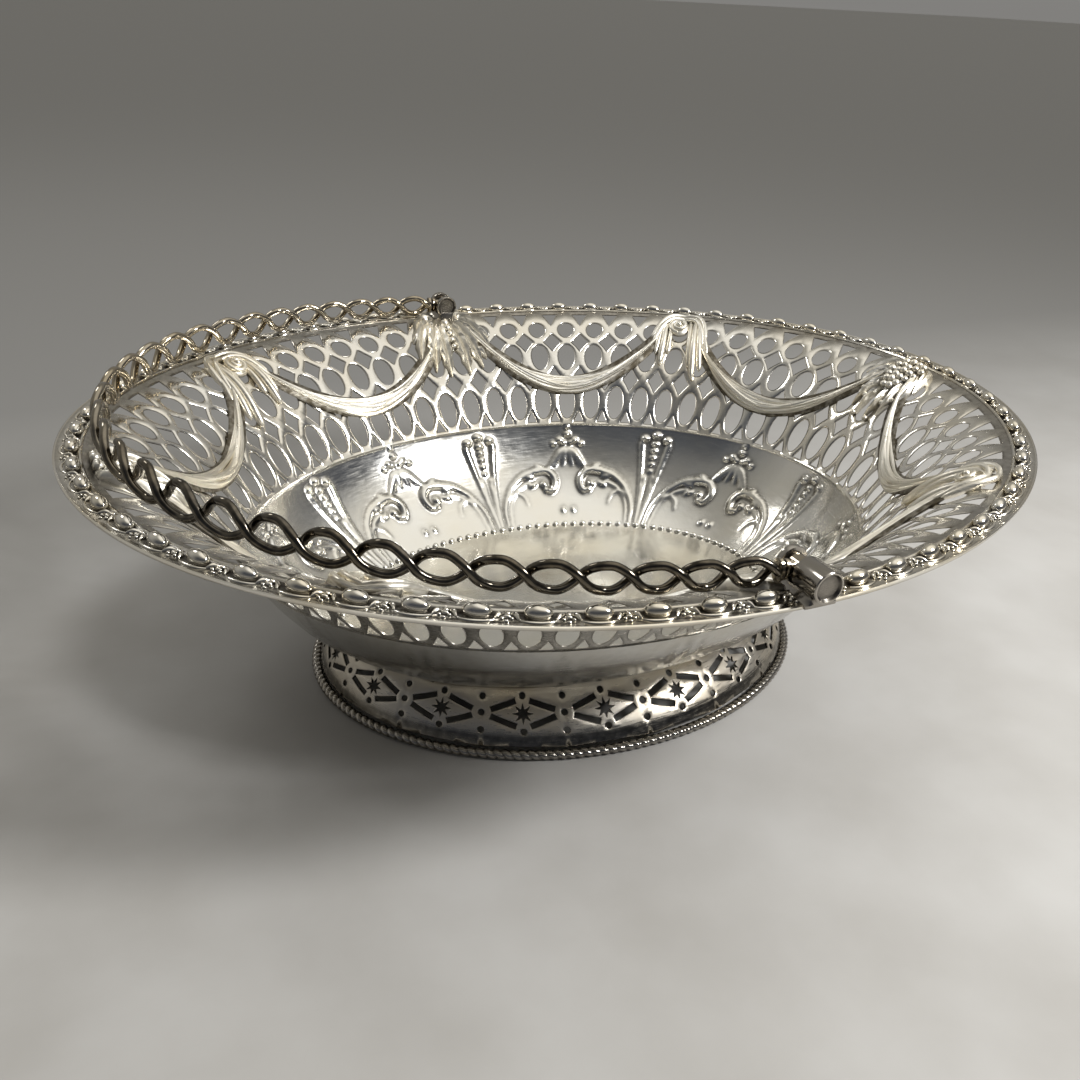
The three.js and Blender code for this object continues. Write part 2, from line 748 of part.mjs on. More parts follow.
function bracketGeometry(side) {
  const webEnd = Math.min(barrelEnd(side), WEB_OUTER_END);
  const knuckles = [
    [BARREL_INNER_END, KNUCKLE_INNER_END - HINGE_ROOM],
    [KNUCKLE_OUTER_END + HINGE_ROOM, barrelEnd(side)],
  ];
  const cheekFoot = WEB_TOP - CHEEK_SINK;
  const parts = knuckles.flatMap(([from, to]) => {
    const end = Math.min(to, webEnd);
    return [
      barrel(side, from, to, BARREL_DIAMETER / 2),
      new THREE.BoxGeometry(2 * WEB_HALF_WIDTH, end - from, HINGE_HEIGHT - cheekFoot).translate(
        0,
        (side * (from + end)) / 2,
        (HINGE_HEIGHT + cheekFoot) / 2,
      ),
    ];
  });
  const bore = barrel(
    side,
    BARREL_INNER_END - BORE_EXCESS,
    barrelEnd(side) + BORE_EXCESS,
    boreRadius,
    BORE_SIDES,
  );
  return cut(join([webGeometry(side, webEnd), ...parts]), [bore]);
}

function pinGeometry(side) {
  return barrel(
    side,
    BARREL_INNER_END + PIN_END_ROOM,
    barrelEnd(side) - PIN_END_ROOM,
    PIN_DIAMETER / 2,
    BORE_SIDES,
  );
}

const basket = new THREE.Group();
basket.add(
  piece("dish", dishGeometry(), SILVER_SHEET),
  piece("pierced_wall", piercedWallGeometry(), SILVER_SHEET),
  piece("beaded_border", borderGeometry(), SILVER_CAST),
  piece("foot_band", cut(ringGeometry(footSection, FOOT_STATIONS), footCutters()), SILVER_SHEET),
  piece("foot_rope_border", ringGeometry(ropeSection, COLUMNS, 0.5), SILVER_CAST),
);

const mountStep = COLUMNS / SWAGS;
for (let i = 0; i < SWAGS; i++)
  basket.add(piece("swag_" + (i + 1), swagGeometry(i * mountStep), SILVER_CAST));

const MOUNTS = {
  berry_mount_right: [0, BERRY_OUTLINE],
  volute_mount_1: [1, VOLUTE_OUTLINE],
  leaf_mount_back: [2, LEAF_OUTLINE],
  volute_mount_2: [3, VOLUTE_OUTLINE],
  berry_mount_left: [4, BERRY_OUTLINE],
  volute_mount_3: [5, VOLUTE_OUTLINE],
  leaf_mount_front: [6, LEAF_OUTLINE],
  volute_mount_4: [7, VOLUTE_OUTLINE],
};
for (const [name, [place, outline]] of Object.entries(MOUNTS))
  basket.add(piece(name, mountGeometry(place * mountStep, outline), SILVER_CAST));

const handle = new THREE.Group();
handle.add(
  piece("handle_wire_a", wireGeometry(1), SILVER_HANDLE),
  piece("handle_wire_b", wireGeometry(-1), SILVER_HANDLE),
);
for (const [place, side] of [
  ["front", -1],
  ["back", 1],
]) {
  basket.add(piece("hinge_bracket_" + place, bracketGeometry(side), SILVER_CAST));
  basket.add(piece("hinge_pin_" + place, pinGeometry(side), STEEL_PIN));
  handle.add(piece("handle_terminal_" + place, terminalGeometry(side), SILVER_HANDLE));
}
basket.add(handle);

export default basket;
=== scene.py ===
"""Looks of an oval pierced cake basket with a swing handle, in silver.

Sizes are in millimetres until a mesh is made. X runs along the oval, Y across it and Z up.
Most places are given as a column, of which 64 go round the oval from its +X end, and as down,
which runs from 0 at the top of a surface to 1 at its foot.
"""
import math
from functools import partial

import bpy
import numpy as np
from mathutils import Matrix, Vector
from mathutils.geometry import delaunay_2d_cdt


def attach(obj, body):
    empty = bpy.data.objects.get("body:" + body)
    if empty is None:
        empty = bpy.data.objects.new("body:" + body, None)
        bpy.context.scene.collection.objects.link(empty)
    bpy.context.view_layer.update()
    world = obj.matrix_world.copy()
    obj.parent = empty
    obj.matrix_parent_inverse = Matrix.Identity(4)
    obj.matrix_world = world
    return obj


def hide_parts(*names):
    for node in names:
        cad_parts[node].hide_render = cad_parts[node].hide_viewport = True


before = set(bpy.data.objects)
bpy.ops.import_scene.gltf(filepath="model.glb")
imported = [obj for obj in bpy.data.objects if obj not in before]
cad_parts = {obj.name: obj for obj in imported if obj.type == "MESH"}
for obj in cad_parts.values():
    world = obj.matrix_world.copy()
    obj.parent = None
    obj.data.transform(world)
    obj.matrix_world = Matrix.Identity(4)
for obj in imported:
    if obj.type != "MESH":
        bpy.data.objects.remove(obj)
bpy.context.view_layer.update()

MM = 0.001
TURN = 2 * math.pi

# Driving dimensions, the same as the solids have
COLUMNS = 64
RIM_LENGTH, RIM_WIDTH, RIM_HEIGHT, RIM_END_RISE = 360, 298, 97.6, 3.7
SIDE_LENGTH, SIDE_WIDTH, SIDE_HEIGHT = 248.8, 189, 56.7
WALL_ARCH, WALL_EVENNESS = 12.5, 0.3
FLOOR_LENGTH, FLOOR_WIDTH, FLOOR_HEIGHT = 178, 120, 20
FOOT_TOP_LENGTH, FOOT_TOP_WIDTH = 178, 122
FOOT_LENGTH, FOOT_WIDTH, FOOT_INSET = 203.6, 160.2, 3.36
SHEET, GAP = 1.0, 0.3
ROPE_WIDTH, ROPE_HEIGHT = 4.2, 3.2
BAIL_REACH, BAIL_HALF_SPAN = 165, 138.6
HINGE_HEIGHT, REST_SLOPE = 103.7, 0.047
SWAGS, LOZENGES = 8, 18
MOUNT_STEP = COLUMNS // SWAGS


def mix(a, b, share):
    return a + (b - a) * share


def unit(vectors):
    return vectors / np.linalg.norm(vectors, axis=-1, keepdims=True)


# Angles that divide the rim's oval into 64 equal lengths
ARC_ANGLES = np.linspace(0, TURN, 4097)
_middles = (ARC_ANGLES[1:] + ARC_ANGLES[:-1]) / 2
_lengths = np.hypot(RIM_LENGTH * np.sin(_middles), RIM_WIDTH * np.cos(_middles))
ARC_SHARES = np.concatenate([[0], np.cumsum(_lengths)]) / _lengths.sum()


def column_angle(column):
    turns = np.asarray(column, float) / COLUMNS
    whole = np.floor(turns)
    return TURN * whole + np.interp(turns - whole, ARC_SHARES, ARC_ANGLES)


def oval(half_length, half_width, height, angle):
    x, y, z = np.broadcast_arrays(half_length * np.cos(angle), half_width * np.sin(angle), height)
    return np.stack([x, y, z], -1)


def flare(column, down):
    """The flaring wall's inner face: down is 0 at the rim's edge and 1 at the solid side."""
    column, down = np.broadcast_arrays(column, down)
    angle = column_angle(column)
    inwards = down * (1 + WALL_EVENNESS * (1 - down))
    rise = RIM_END_RISE * np.cos(angle) ** 2
    rim = oval(RIM_LENGTH / 2, RIM_WIDTH / 2, RIM_HEIGHT + rise, angle)
    ring = oval(SIDE_LENGTH / 2, SIDE_WIDTH / 2, SIDE_HEIGHT, angle)
    point = mix(rim, ring, inwards[..., None])
    point[..., 2] += WALL_ARCH * 4 * inwards * (1 - inwards)
    return point


BULGE_OUT, BULGE_UP = 0.7, 0.41


def side(column, down):
    """The solid side's inner face: down is 0 at its top and 1 at the floor."""
    column, down = np.broadcast_arrays(column, down)
    up = 1 - down
    out = 2 * BULGE_OUT * up * down + up * up
    rise = 2 * BULGE_UP * up * down + up * up
    return oval(
        mix(FLOOR_LENGTH, SIDE_LENGTH, out) / 2,
        mix(FLOOR_WIDTH, SIDE_WIDTH, out) / 2,
        mix(FLOOR_HEIGHT, SIDE_HEIGHT, rise),
        column_angle(column),
    )


FOOT_BULGE, FOOT_BULGE_UP = 1.3, 0.6


def foot(column, down):
    """The foot's outer face: down is 0 under the dish and 1 at the rope border."""
    column, down = np.broadcast_arrays(column, down)
    bulge = FOOT_BULGE * 4 * down * (1 - down)
    return oval(
        mix(FOOT_TOP_LENGTH / 2, FOOT_LENGTH / 2 - FOOT_INSET, down) + bulge,
        mix(FOOT_TOP_WIDTH / 2, FOOT_WIDTH / 2 - FOOT_INSET, down) + bulge,
        mix(FLOOR_HEIGHT - SHEET - GAP, ROPE_HEIGHT + GAP, down) + FOOT_BULGE_UP * bulge,
        column_angle(column),
    )


STEP = 0.01


def normal(surface, column, down):
    across = surface(column + STEP, down) - surface(column - STEP, down)
    along = surface(column, down + STEP) - surface(column, down - STEP)
    found = unit(np.cross(across, along))
    return np.where(found[..., 2:] < 0, -found, found)


def lifted(surface, column, down, lift):
    column, down, lift = np.broadcast_arrays(column, down, lift)
    return surface(column, down) + normal(surface, column, down) * lift[..., None]


def axes_at(surface, column, down):
    """A place on a surface, with its directions along the columns, down and out of the sheet."""
    column, down = np.broadcast_arrays(np.asarray(column, float), np.asarray(down, float))
    out = normal(surface, column, down)
    below = unit(surface(column, down + STEP) - surface(column, down - STEP))
    return surface(column, down), unit(np.cross(below, out)), below, out


class Shape:
    """Points, faces and tarnish with painted shade, for one piece. Each call adds closed bodies.
    """

    def __init__(self):
        self.points, self.tarnish, self.quads, self.triangles, self.count = [], [], [], [], 0

    def add(self, points, quads=None, triangles=None, tarnish=0.0):
        points = np.reshape(points, (-1, 3))
        quads = np.zeros((0, 4), int) if quads is None else quads
        triangles = np.zeros((0, 3), int) if triangles is None else triangles
        every = np.concatenate([quads[:, [0, 1, 2]], quads[:, [0, 2, 3]], triangles])
        a, b, c = (points[every[:, i]] for i in range(3))
        if np.einsum("ij,ij->", a, np.cross(b, c)) < 0:
            quads, triangles = quads[:, ::-1], triangles[:, ::-1]
        self.points.append(points)
        self.tarnish.append(np.broadcast_to(np.reshape(tarnish, -1), len(points)))
        self.quads.append(quads + self.count)
        self.triangles.append(triangles + self.count)
        self.count += len(points)


def grid_quads(rows, columns, close_rows, close_columns):
    r, c = np.meshgrid(
        np.arange(rows if close_rows else rows - 1),
        np.arange(columns if close_columns else columns - 1),
        indexing="ij",
    )
    r2, c2 = (r + 1) % rows * columns, (c + 1) % columns
    return np.stack([r * columns + c, r2 + c, r2 + c2, r * columns + c2], -1).reshape(-1, 4)


def add_sweep(shape, sections, closed=False, tarnish=0.0):
    """A bar or a ring through sections that all have the same number of corners."""
    stations, corners = sections.shape[:2]
    triangles = None
    if not closed:
        fan = np.arange(1, corners - 1)
        first = np.stack([0 * fan, fan, fan + 1], -1)
        last = np.stack([0 * fan, fan + 1, fan], -1) + (stations - 1) * corners
        triangles = np.concatenate([first, last])
    shape.add(sections, grid_quads(stations, corners, closed, True), triangles, tarnish)


def add_tube(shape, path, radii, up, sides=10, flat=1.0, tarnish=0.0):
    """A round bar along a path. flat is its thickness along up, as part of its width."""
    along = unit(np.gradient(path, axis=0))
    across = unit(np.cross(along, up))
    top = np.cross(across, along)
    angle = (np.arange(sides) * TURN / sides)[:, None]
    ring = np.cos(angle) * across[:, None] + flat * np.sin(angle) * top[:, None]
    sections = path[:, None] + np.reshape(radii, (-1, 1, 1)) * ring
    add_sweep(shape, sections, tarnish=tarnish)


def add_blobs(shape, centres, axes, sizes, segments=12, rings=8, tarnish=0.0):
    """Ellipsoids at these centres, with half sizes along three axes each. The last argument is
    painted shade, 0 on top and this much at the foot, where they meet the surface."""
    centres = np.reshape(centres, (-1, 3))
    axes = [np.broadcast_to(np.reshape(a, (-1, 3)), centres.shape) for a in axes]
    sizes = np.broadcast_to(sizes, (len(centres), 3))
    polar = np.linspace(0, math.pi, rings + 1)[1:-1]
    round_ = np.arange(segments) * TURN / segments
    width = np.sin(polar)[:, None]
    ring = [width * np.cos(round_), width * np.sin(round_), np.cos(polar)[:, None] + 0 * round_]
    local = np.stack(ring, -1).reshape(-1, 3)
    local = np.concatenate([local, [[0, 0, 1], [0, 0, -1]]])
    quads = grid_quads(rings - 1, segments, False, True)
    here = np.arange(segments)
    after = (here + 1) % segments
    bottom = (rings - 2) * segments
    top_point, low_point = len(local) - 2, len(local) - 1
    triangles = np.concatenate(
        [
            np.stack([0 * here + top_point, here, after], -1),
            np.stack([0 * here + low_point, bottom + after, bottom + here], -1),
        ]
    )
    points = centres[:, None] + sum(
        local[None, :, i, None] * (sizes[:, None, i, None] * axes[i][:, None]) for i in range(3)
    )
    shift = (np.arange(len(centres)) * len(local))[:, None, None]
    # Painted shade: dark at each blob's foot, light on its top
    shade = np.tile(tarnish * np.clip(0.7 - local[:, 2], 0, 1), len(centres))
    shape.add(points, (quads + shift).reshape(-1, 4), (triangles + shift).reshape(-1, 3), shade)


def add_beads(shape, surface, column, down, size, lift=0.0, turn=0.0, **options):
    """Ellipsoids that stand on a surface. size is (along columns, down, high)."""
    centre, across, below, out = axes_at(surface, column, down)
    turn = np.asarray(turn, float)[..., None]
    first = np.cos(turn) * across + np.sin(turn) * below
    second = np.cos(turn) * below - np.sin(turn) * across
    add_blobs(shape, centre + np.asarray(lift) * out, (first, second, out), size, **options)


def add_roll(shape, column, down, lift, radii, **options):
    """A round bar that lies on the flare, or over it by some lift."""
    path = lifted(flare, column, down, lift)
    add_tube(shape, path, radii, normal(flare, column, down), **options)


def smooth(points, count):
    """A Catmull-Rom curve through points, at this many places."""
    points = np.asarray(points, float)
    ends = np.array([2 * points[0] - points[1], *points, 2 * points[-1] - points[-2]])
    place = np.linspace(0, len(points) - 1, count)
    i = np.minimum(place.astype(int), len(points) - 2)
    t = (place - i)[:, None]
    a, b, c, d = ends[i], ends[i + 1], ends[i + 2], ends[i + 3]
    return 0.5 * (
        2 * b + (c - a) * t + (2 * a - 5 * b + 4 * c - d) * t**2 + (3 * b - a - 3 * c + d) * t**3
    )


def mirrored(path, middle, way):
    """[across, down] points beside a middle column, on its other side if way is -1."""
    return [[middle + way * across, down] for across, down in path]


# Sections of an applied strip, as [across, up] from its left edge to its right edge
ROUND = [[-1, 0], [-0.85, 0.5], [-0.5, 0.86], [0, 1], [0.5, 0.86], [0.85, 0.5], [1, 0]]
VEINED = [
    [-1, 0], [-0.82, 0.55], [-0.5, 0.9], [-0.2, 0.7], [0, 0.4],
    [0.2, 0.7], [0.5, 0.9], [0.82, 0.55], [1, 0],
]
SUNK = 0.25  # how far its foot lies in the surface


def add_strip(shape, surface, path, width, height, section=ROUND, count=20, dark=0.55):
    """A raised strip along [column, down] points. width and height are functions of the share
    of its length, in millimetres from the middle line to the edge and from the surface."""
    line = smooth(path, count)
    share = np.linspace(0, 1, count)
    middle, _, _, out = axes_at(surface, line[:, 0], line[:, 1])
    across = unit(np.cross(out, unit(np.gradient(middle, axis=0))))
    corners = np.array([*section, [1, -SUNK], [-1, -SUNK]], float)
    tall = np.where(corners[:, 1] < 0, 0.0, corners[:, 1])
    rise = tall * height(share)[:, None] + np.minimum(corners[:, 1], 0)
    points = (
        middle[:, None]
        + across[:, None] * (corners[:, 0] * width(share)[:, None])[..., None]
        + out[:, None] * rise[..., None]
    )
    # Painted shade: dark along the strip's foot where it meets the surface, light on its crown
    shade = np.tile(dark * np.clip(1 - 1.15 * tall, 0, 1), count)
    add_sweep(shape, points, tarnish=shade)


def leaf(wide, lobes=0):
    """A leaf's half width along its length: narrow at its root, with lobes and a pointed end."""

    def width(share):
        body = np.sin(math.pi * np.clip(share, 0.02, 0.99) ** 0.75) ** 0.75
        return wide * body * (1 - 0.3 * np.abs(np.sin(lobes * math.pi * share))) + 0.15

    return width


def taper(start, end):
    return lambda share: mix(start, end, share)


def hump(low, high):
    return lambda share: mix(low, high, np.sin(math.pi * share))


# Materials
def node(tree, kind, inputs=None, **settings):
    made = tree.nodes.new(kind)
    for name, value in settings.items():
        setattr(made, name, value)
    for name, value in (inputs or {}).items():
        if isinstance(value, bpy.types.NodeSocket):
            tree.links.new(value, made.inputs[name])
        else:
            made.inputs[name].default_value = value
    return made


def noise(tree, place, scale, detail, stretch=None):
    if stretch:
        place = node(tree, "ShaderNodeMapping", {"Vector": place, "Scale": stretch}).outputs[0]
    made = node(tree, "ShaderNodeTexNoise", {"Vector": place, "Scale": scale, "Detail": detail})
    return made.outputs["Fac"]


def ranged(tree, value, low, high, to_low, to_high):
    inputs = {0: value, 1: low, 2: high, 3: to_low, 4: to_high}
    return node(tree, "ShaderNodeMapRange", inputs).outputs[0]


def math_node(tree, operation, a, b):
    return node(tree, "ShaderNodeMath", {0: a, 1: b}, operation=operation).outputs[0]


def blend(tree, share, start, end):
    """A colour between two, each of them a colour or the output of a node."""
    start, end = (c if isinstance(c, bpy.types.NodeSocket) else (*c, 1) for c in (start, end))
    return node(tree, "ShaderNodeMix", {0: share, 6: start, 7: end}, data_type="RGBA").outputs[2]


BLOOM_SCALE, FINE_SCALE, SCRATCH_SCALE, DENT_SCALE = 34.0, 420.0, 160.0, 75.0
SCRATCH_STRETCH = (1.0, 1.0, 14.0)
WARM_TINT = (0.97, 0.9, 0.76)


def silver(name, colour, dull, roughness, wear=0.5, dents=0.25, matt=0.22):
    """Silver with a warm bloom, fine scratches and soft dents, darkened where the mesh attribute
    holds tarnish and painted shade. dull and matt are the colour of those darkened places and
    the roughness that they add."""
    material = bpy.data.materials.new(name)
    material.use_nodes = True
    tree = material.node_tree
    shader = tree.nodes["Principled BSDF"]
    shader.inputs["Metallic"].default_value = 1.0
    place = node(tree, "ShaderNodeTexCoord").outputs["Object"]
    bloom = noise(tree, place, BLOOM_SCALE, 4.0)
    fine = noise(tree, place, FINE_SCALE, 4.0)
    scratches = noise(tree, place, SCRATCH_SCALE, 5.0, SCRATCH_STRETCH)
    # Tarnish and painted shade, read from the mesh, blend the skin towards dull
    recess = node(tree, "ShaderNodeAttribute", attribute_name="tarnish").outputs["Fac"]
    patchy = ranged(tree, fine, 0.3, 0.7, 0.75, 1.1)
    depth = math_node(tree, "MULTIPLY", recess, patchy)
    warm = ranged(tree, bloom, 0.38, 0.68, 0.0, wear)
    skin = blend(tree, warm, colour, [c * k for c, k in zip(colour, WARM_TINT)])
    tree.links.new(blend(tree, depth, skin, dull), shader.inputs["Base Color"])
    worn = ranged(tree, scratches, 0.35, 0.7, roughness * 0.75, roughness * 1.35)
    rough = math_node(tree, "ADD", worn, math_node(tree, "MULTIPLY", depth, matt))
    tree.links.new(rough, shader.inputs["Roughness"])
    soft = math_node(tree, "MULTIPLY", noise(tree, place, DENT_SCALE, 2.0), dents)
    height = math_node(tree, "ADD", soft, math_node(tree, "MULTIPLY", fine, 0.05))
    bump = node(tree, "ShaderNodeBump", {"Height": height, "Distance": 0.001, "Strength": 0.6})
    tree.links.new(bump.outputs[0], shader.inputs["Normal"])
    return material


SHEET_SILVER = silver("silver_sheet", (0.80, 0.78, 0.73), (0.10, 0.085, 0.065), 0.17)
CHASED_SILVER = silver("silver_chased", (0.82, 0.81, 0.77), (0.08, 0.07, 0.055), 0.15, 0.4, 0.22)
CAST_SILVER = silver("silver_cast", (0.83, 0.8, 0.73), (0.05, 0.042, 0.033), 0.13, 0.7)
APPLIED_SILVER = silver("silver_applied", (0.93, 0.9, 0.82), (0.1, 0.085, 0.06), 0.36, 0.5)
# The handle's silver is darker than the rest: partly tarnish, partly painted shade for its dark
# reflections
HANDLE_SILVER = silver(
    "silver_handle", (0.43, 0.385, 0.31), (0.018, 0.017, 0.016), 0.09, 0.7, 0.2, 0.03
)
# The hinges' silver is also the rope's
HINGE_SILVER = silver("silver_hinge", (0.38, 0.36, 0.33), (0.05, 0.045, 0.04), 0.16, 0.5)
# The foot's silver is darker than the sheet's: painted shade for the dark reflections under the
# basket, with some tarnish. Its negative matt makes the shaded lower band glossier
FOOT_SILVER = silver("silver_foot", (0.6, 0.56, 0.49), (0.13, 0.12, 0.1), 0.36, 0.6, 0.15, -0.24)
PIN_STEEL = silver("hinge_pin", (0.62, 0.61, 0.59), (0.12, 0.11, 0.10), 0.3, 0.4)

CREASE = math.radians(38)  # from here on an edge is sharp


def make_piece(name, shape, material, slot, body, *nodes):
    """Turns a shape into a piece that rides on a body and stands for CAD nodes."""
    mesh = bpy.data.meshes.new(name)
    quads, triangles = np.concatenate(shape.quads), np.concatenate(shape.triangles)
    points = np.concatenate(shape.points) * MM
    mesh.vertices.add(len(points))
    mesh.vertices.foreach_set("co", points.astype(np.float32).ravel())
    corners = np.concatenate([quads.ravel(), triangles.ravel()])
    mesh.loops.add(len(corners))
    mesh.loops.foreach_set("vertex_index", corners.astype(np.int32))
    first, second = np.arange(len(quads)) * 4, np.arange(len(triangles)) * 3
    starts = np.concatenate([first, len(quads) * 4 + second])
    mesh.polygons.add(len(starts))
    mesh.polygons.foreach_set("loop_start", starts.astype(np.int32))
    mesh.update(calc_edges=True)
    mesh.validate()
    shade = mesh.attributes.new("tarnish", "FLOAT", "POINT")
    shade.data.foreach_set("value", np.concatenate(shape.tarnish).astype(np.float32))
    mesh.shade_smooth()
    mesh.set_sharp_from_angle(angle=CREASE)
    mesh.materials.append(material)
    piece = bpy.data.objects.new(name, mesh)
    bpy.context.scene.collection.objects.link(piece)
    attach(piece, body)
    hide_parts(*nodes)


# Outlines of openings, in millimetres round their middle. Each ends in grow, a margin round it.
def ellipse_hole(half_width, half_height, count, grow):
    angle = np.arange(count) * TURN / count
    x, y = (half_width + grow) * np.cos(angle), (half_height + grow) * np.sin(angle)
    return np.stack([x, y], -1)


DIAMOND_POINTS, DIAMOND_BOW = 16, 2.2


def diamond_hole(half_width, half_height, grow):
    """A lozenge whose sides bow inwards a little."""
    scale = 1 + grow * math.hypot(half_width, half_height) / (half_width * half_height)
    angle = np.arange(DIAMOND_POINTS) * TURN / DIAMOND_POINTS
    bow = [np.sign(f) * np.abs(f) ** DIAMOND_BOW for f in (np.cos(angle), np.sin(angle))]
    return np.stack([half_width * bow[0], half_height * bow[1]], -1) * scale


def triangle_hole(half_base, height, way, grow):
    """A triangle with its point up, or down if way is -1, round its inner circle's middle."""
    slope = math.hypot(half_base, height)
    inner = half_base * height / (half_base + slope)
    corners = np.array([[0, inner - height], [half_base, inner], [-half_base, inner]])
    corners = corners * (1 + grow / inner) * [1, way]
    share = np.arange(4)[:, None] / 4
    return np.concatenate([mix(corners[i], corners[(i + 1) % 3], share) for i in range(3)])


def slot_hole(length, width, turn, grow):
    half = np.array([length / 2 + grow, width / 2 + grow])
    box = [[-1, -1], [-0.33, -1], [0.33, -1], [1, -1], [1, 1], [0.33, 1], [-0.33, 1], [-1, 1]]
    corners = np.array(box) * half
    cos, sin = math.cos(turn), math.sin(turn)
    return corners @ np.array([[cos, sin], [-sin, cos]])


def star_hole(radius, inner, points, grow):
    angle = np.arange(2 * points) * math.pi / points
    reach = np.where(np.arange(2 * points) % 2 == 0, radius + grow, inner + grow)
    return np.stack([reach * np.cos(angle), reach * np.sin(angle)], -1)


def inside(points, loop):
    """Which points lie in a closed outline."""
    x, y = points[:, None, 0], points[:, None, 1]
    a, b = loop, np.roll(loop, -1, 0)
    crosses = (a[:, 1] > y) != (b[:, 1] > y)
    with np.errstate(divide="ignore", invalid="ignore"):
        at = (b[:, 0] - a[:, 0]) * (y - a[:, 1]) / (b[:, 1] - a[:, 1]) + a[:, 0]
    return (crosses & (x < at)).sum(1) % 2 == 1


def distance_to(points, loop):
    """Distance from each point to a closed outline."""
    a, b = loop, np.roll(loop, -1, 0)
    along = b - a
    share = np.einsum("pij,ij->pi", points[:, None] - a, along) / (along**2).sum(-1)
    nearest = a + np.clip(share, 0, 1)[..., None] * along
    return np.linalg.norm(points[:, None] - nearest, axis=-1).min(1)


def triangulate(loops, extra):
    """Triangles among closed outlines that may cross, as (points, triangles)."""
    points, edges = [], []
    for loop in loops:
        start = len(points)
        points += [Vector(p) for p in loop]
        edges += [(start + i, start + (i + 1) % len(loop)) for i in range(len(loop))]
    points += [Vector(p) for p in extra]
    found = delaunay_2d_cdt(points, edges, [], 0, 1e-5, False)
    return np.array([p[:] for p in found[0]]), np.array(found[2])


def add_pierced_sheet(
    shape, surface, period, pitch, length, ends, holes, rings, edge, thick, extra, stain_and_shade
):
    """A sheet round the oval, pierced alike in every period of its columns.

    pitch is a period's width, length the sheet's height, ends its edges and thick its thickness,
    in millimetres. Each hole is its middle and a function of a margin that gives its outline,
    and rings are the margins that get an outline of their own. edge is how far the sheet is
    rounded beside its openings, and by how much in front and behind. The last argument gives
    the front's own tarnish and painted shade at a place down. The front also gets painted shade
    beside the openings, and the back is darkened all over, most beside them.
    """
    half = pitch / 2
    box = np.array([[-half, ends[0]], [half, ends[0]], [half, ends[1]], [-half, ends[1]]])
    outlines = [centre + outline(0) for centre, outline in holes]
    grown = [centre + outline(margin) for margin in rings for centre, outline in holes]
    flat, triangles = triangulate([box, *outlines, *grown], extra)
    middle = flat[triangles].mean(1)
    keep = (np.abs(middle[:, 0]) < half) & (middle[:, 1] > ends[0]) & (middle[:, 1] < ends[1])
    for loop in outlines:
        keep &= ~inside(middle, loop)
    triangles = triangles[keep]
    reach = np.min([distance_to(flat, loop) for loop in outlines], axis=0)
    radius, front, back = edge
    roundness = np.clip(1 - reach / radius, 0, 1) ** 2
    repeats = round(COLUMNS / period)
    column = (flat[:, 0] / pitch)[None] + np.arange(repeats)[:, None]
    down = np.tile(flat[:, 1] / length, (repeats, 1))
    keys = np.stack([np.round(column % repeats, 4) % repeats, np.round(down, 5)], -1)
    _, first, number = np.unique(
        keys.reshape(-1, 2), axis=0, return_index=True, return_inverse=True
    )
    number = number.ravel()
    shift = (np.arange(repeats) * len(flat))[:, None, None]
    faces = number[(triangles + shift).reshape(-1, 3)]
    used, faces = np.unique(faces, return_inverse=True)
    faces = faces.reshape(-1, 3)
    first = first[used]
    column, down = column.ravel()[first] * period, down.ravel()[first]
    roundness = np.tile(roundness, repeats)[first]
    top = lifted(surface, column, down, -front * roundness)
    bottom = lifted(surface, column, down, -thick + back * roundness)
    count = len(first)
    sides = np.concatenate([faces[:, [0, 1]], faces[:, [1, 2]], faces[:, [2, 0]]])
    order = np.sort(sides, axis=1)
    _, which, times = np.unique(order, axis=0, return_inverse=True, return_counts=True)
    rim = sides[times[which.ravel()] == 1]
    walls = np.stack([rim[:, 1], rim[:, 0], rim[:, 0] + count, rim[:, 1] + count], -1)
    triangles = np.concatenate([faces, faces[:, ::-1] + count])
    # Painted shade: the front darker beside the openings, the back darker all over and most beside
    # them
    shade = np.concatenate([0.5 * roundness**2 + stain_and_shade(down), 0.5 + 0.3 * roundness])
    shape.add(np.concatenate([top, bottom]), walls, triangles, shade)


# Pierced wall: ovals in three rows, with lozenges between them and triangles at both ends
WALL_PITCH = 14.0
WALL_LENGTH = 73.0
WALL_TOP, WALL_BOTTOM = 0.1, 1.0
WALL_SHEET = 0.6
OVAL_POINTS = 20
# Each row's place down, and its half width and half height as parts of the pitch and the length
OVALS = [[0.342, 0.275, 0.068], [0.56, 0.31, 0.089], [0.862, 0.32, 0.102]]
DIAMONDS = [[0.45, 0.32, 0.072], [0.708, 0.3, 0.074]]
# Base, point and half width: the triangles at the foot, and those that hang from the border
TRIANGLES = [[0.984, 0.917, 0.2], [0.168, 0.3, 0.25]]
WALL_RINGS = (0.35, 0.95)
WALL_EDGE = (1.3, 0.6, 0.3)
# Partly tarnish, partly painted shade from the border and the handle's wires: the band under the
# border darkens above down 0.25, fully so above 0.17
WALL_BAND_SHADE = (0.7, 0.25, 0.17)
BAND_TOP, BAND_BOTTOM = 0.12, 0.25


def wall_holes():
    holes = []
    for down, wide, high in OVALS:
        outline = partial(ellipse_hole, wide * WALL_PITCH, high * WALL_LENGTH, OVAL_POINTS)
        holes.append(((0, down * WALL_LENGTH), outline))
    for across in (-WALL_PITCH / 2, WALL_PITCH / 2):
        for down, wide, high in DIAMONDS:
            outline = partial(diamond_hole, wide * WALL_PITCH, high * WALL_LENGTH)
            holes.append(((across, down * WALL_LENGTH), outline))
        for base, point, wide in TRIANGLES:
            half, high = wide * WALL_PITCH, abs(base - point) * WALL_LENGTH
            way = math.copysign(1, base - point)
            inner = half * high / (half + math.hypot(half, high))
            outline = partial(triangle_hole, half, high, way)
            holes.append(((across, base * WALL_LENGTH - way * inner), outline))
    return holes


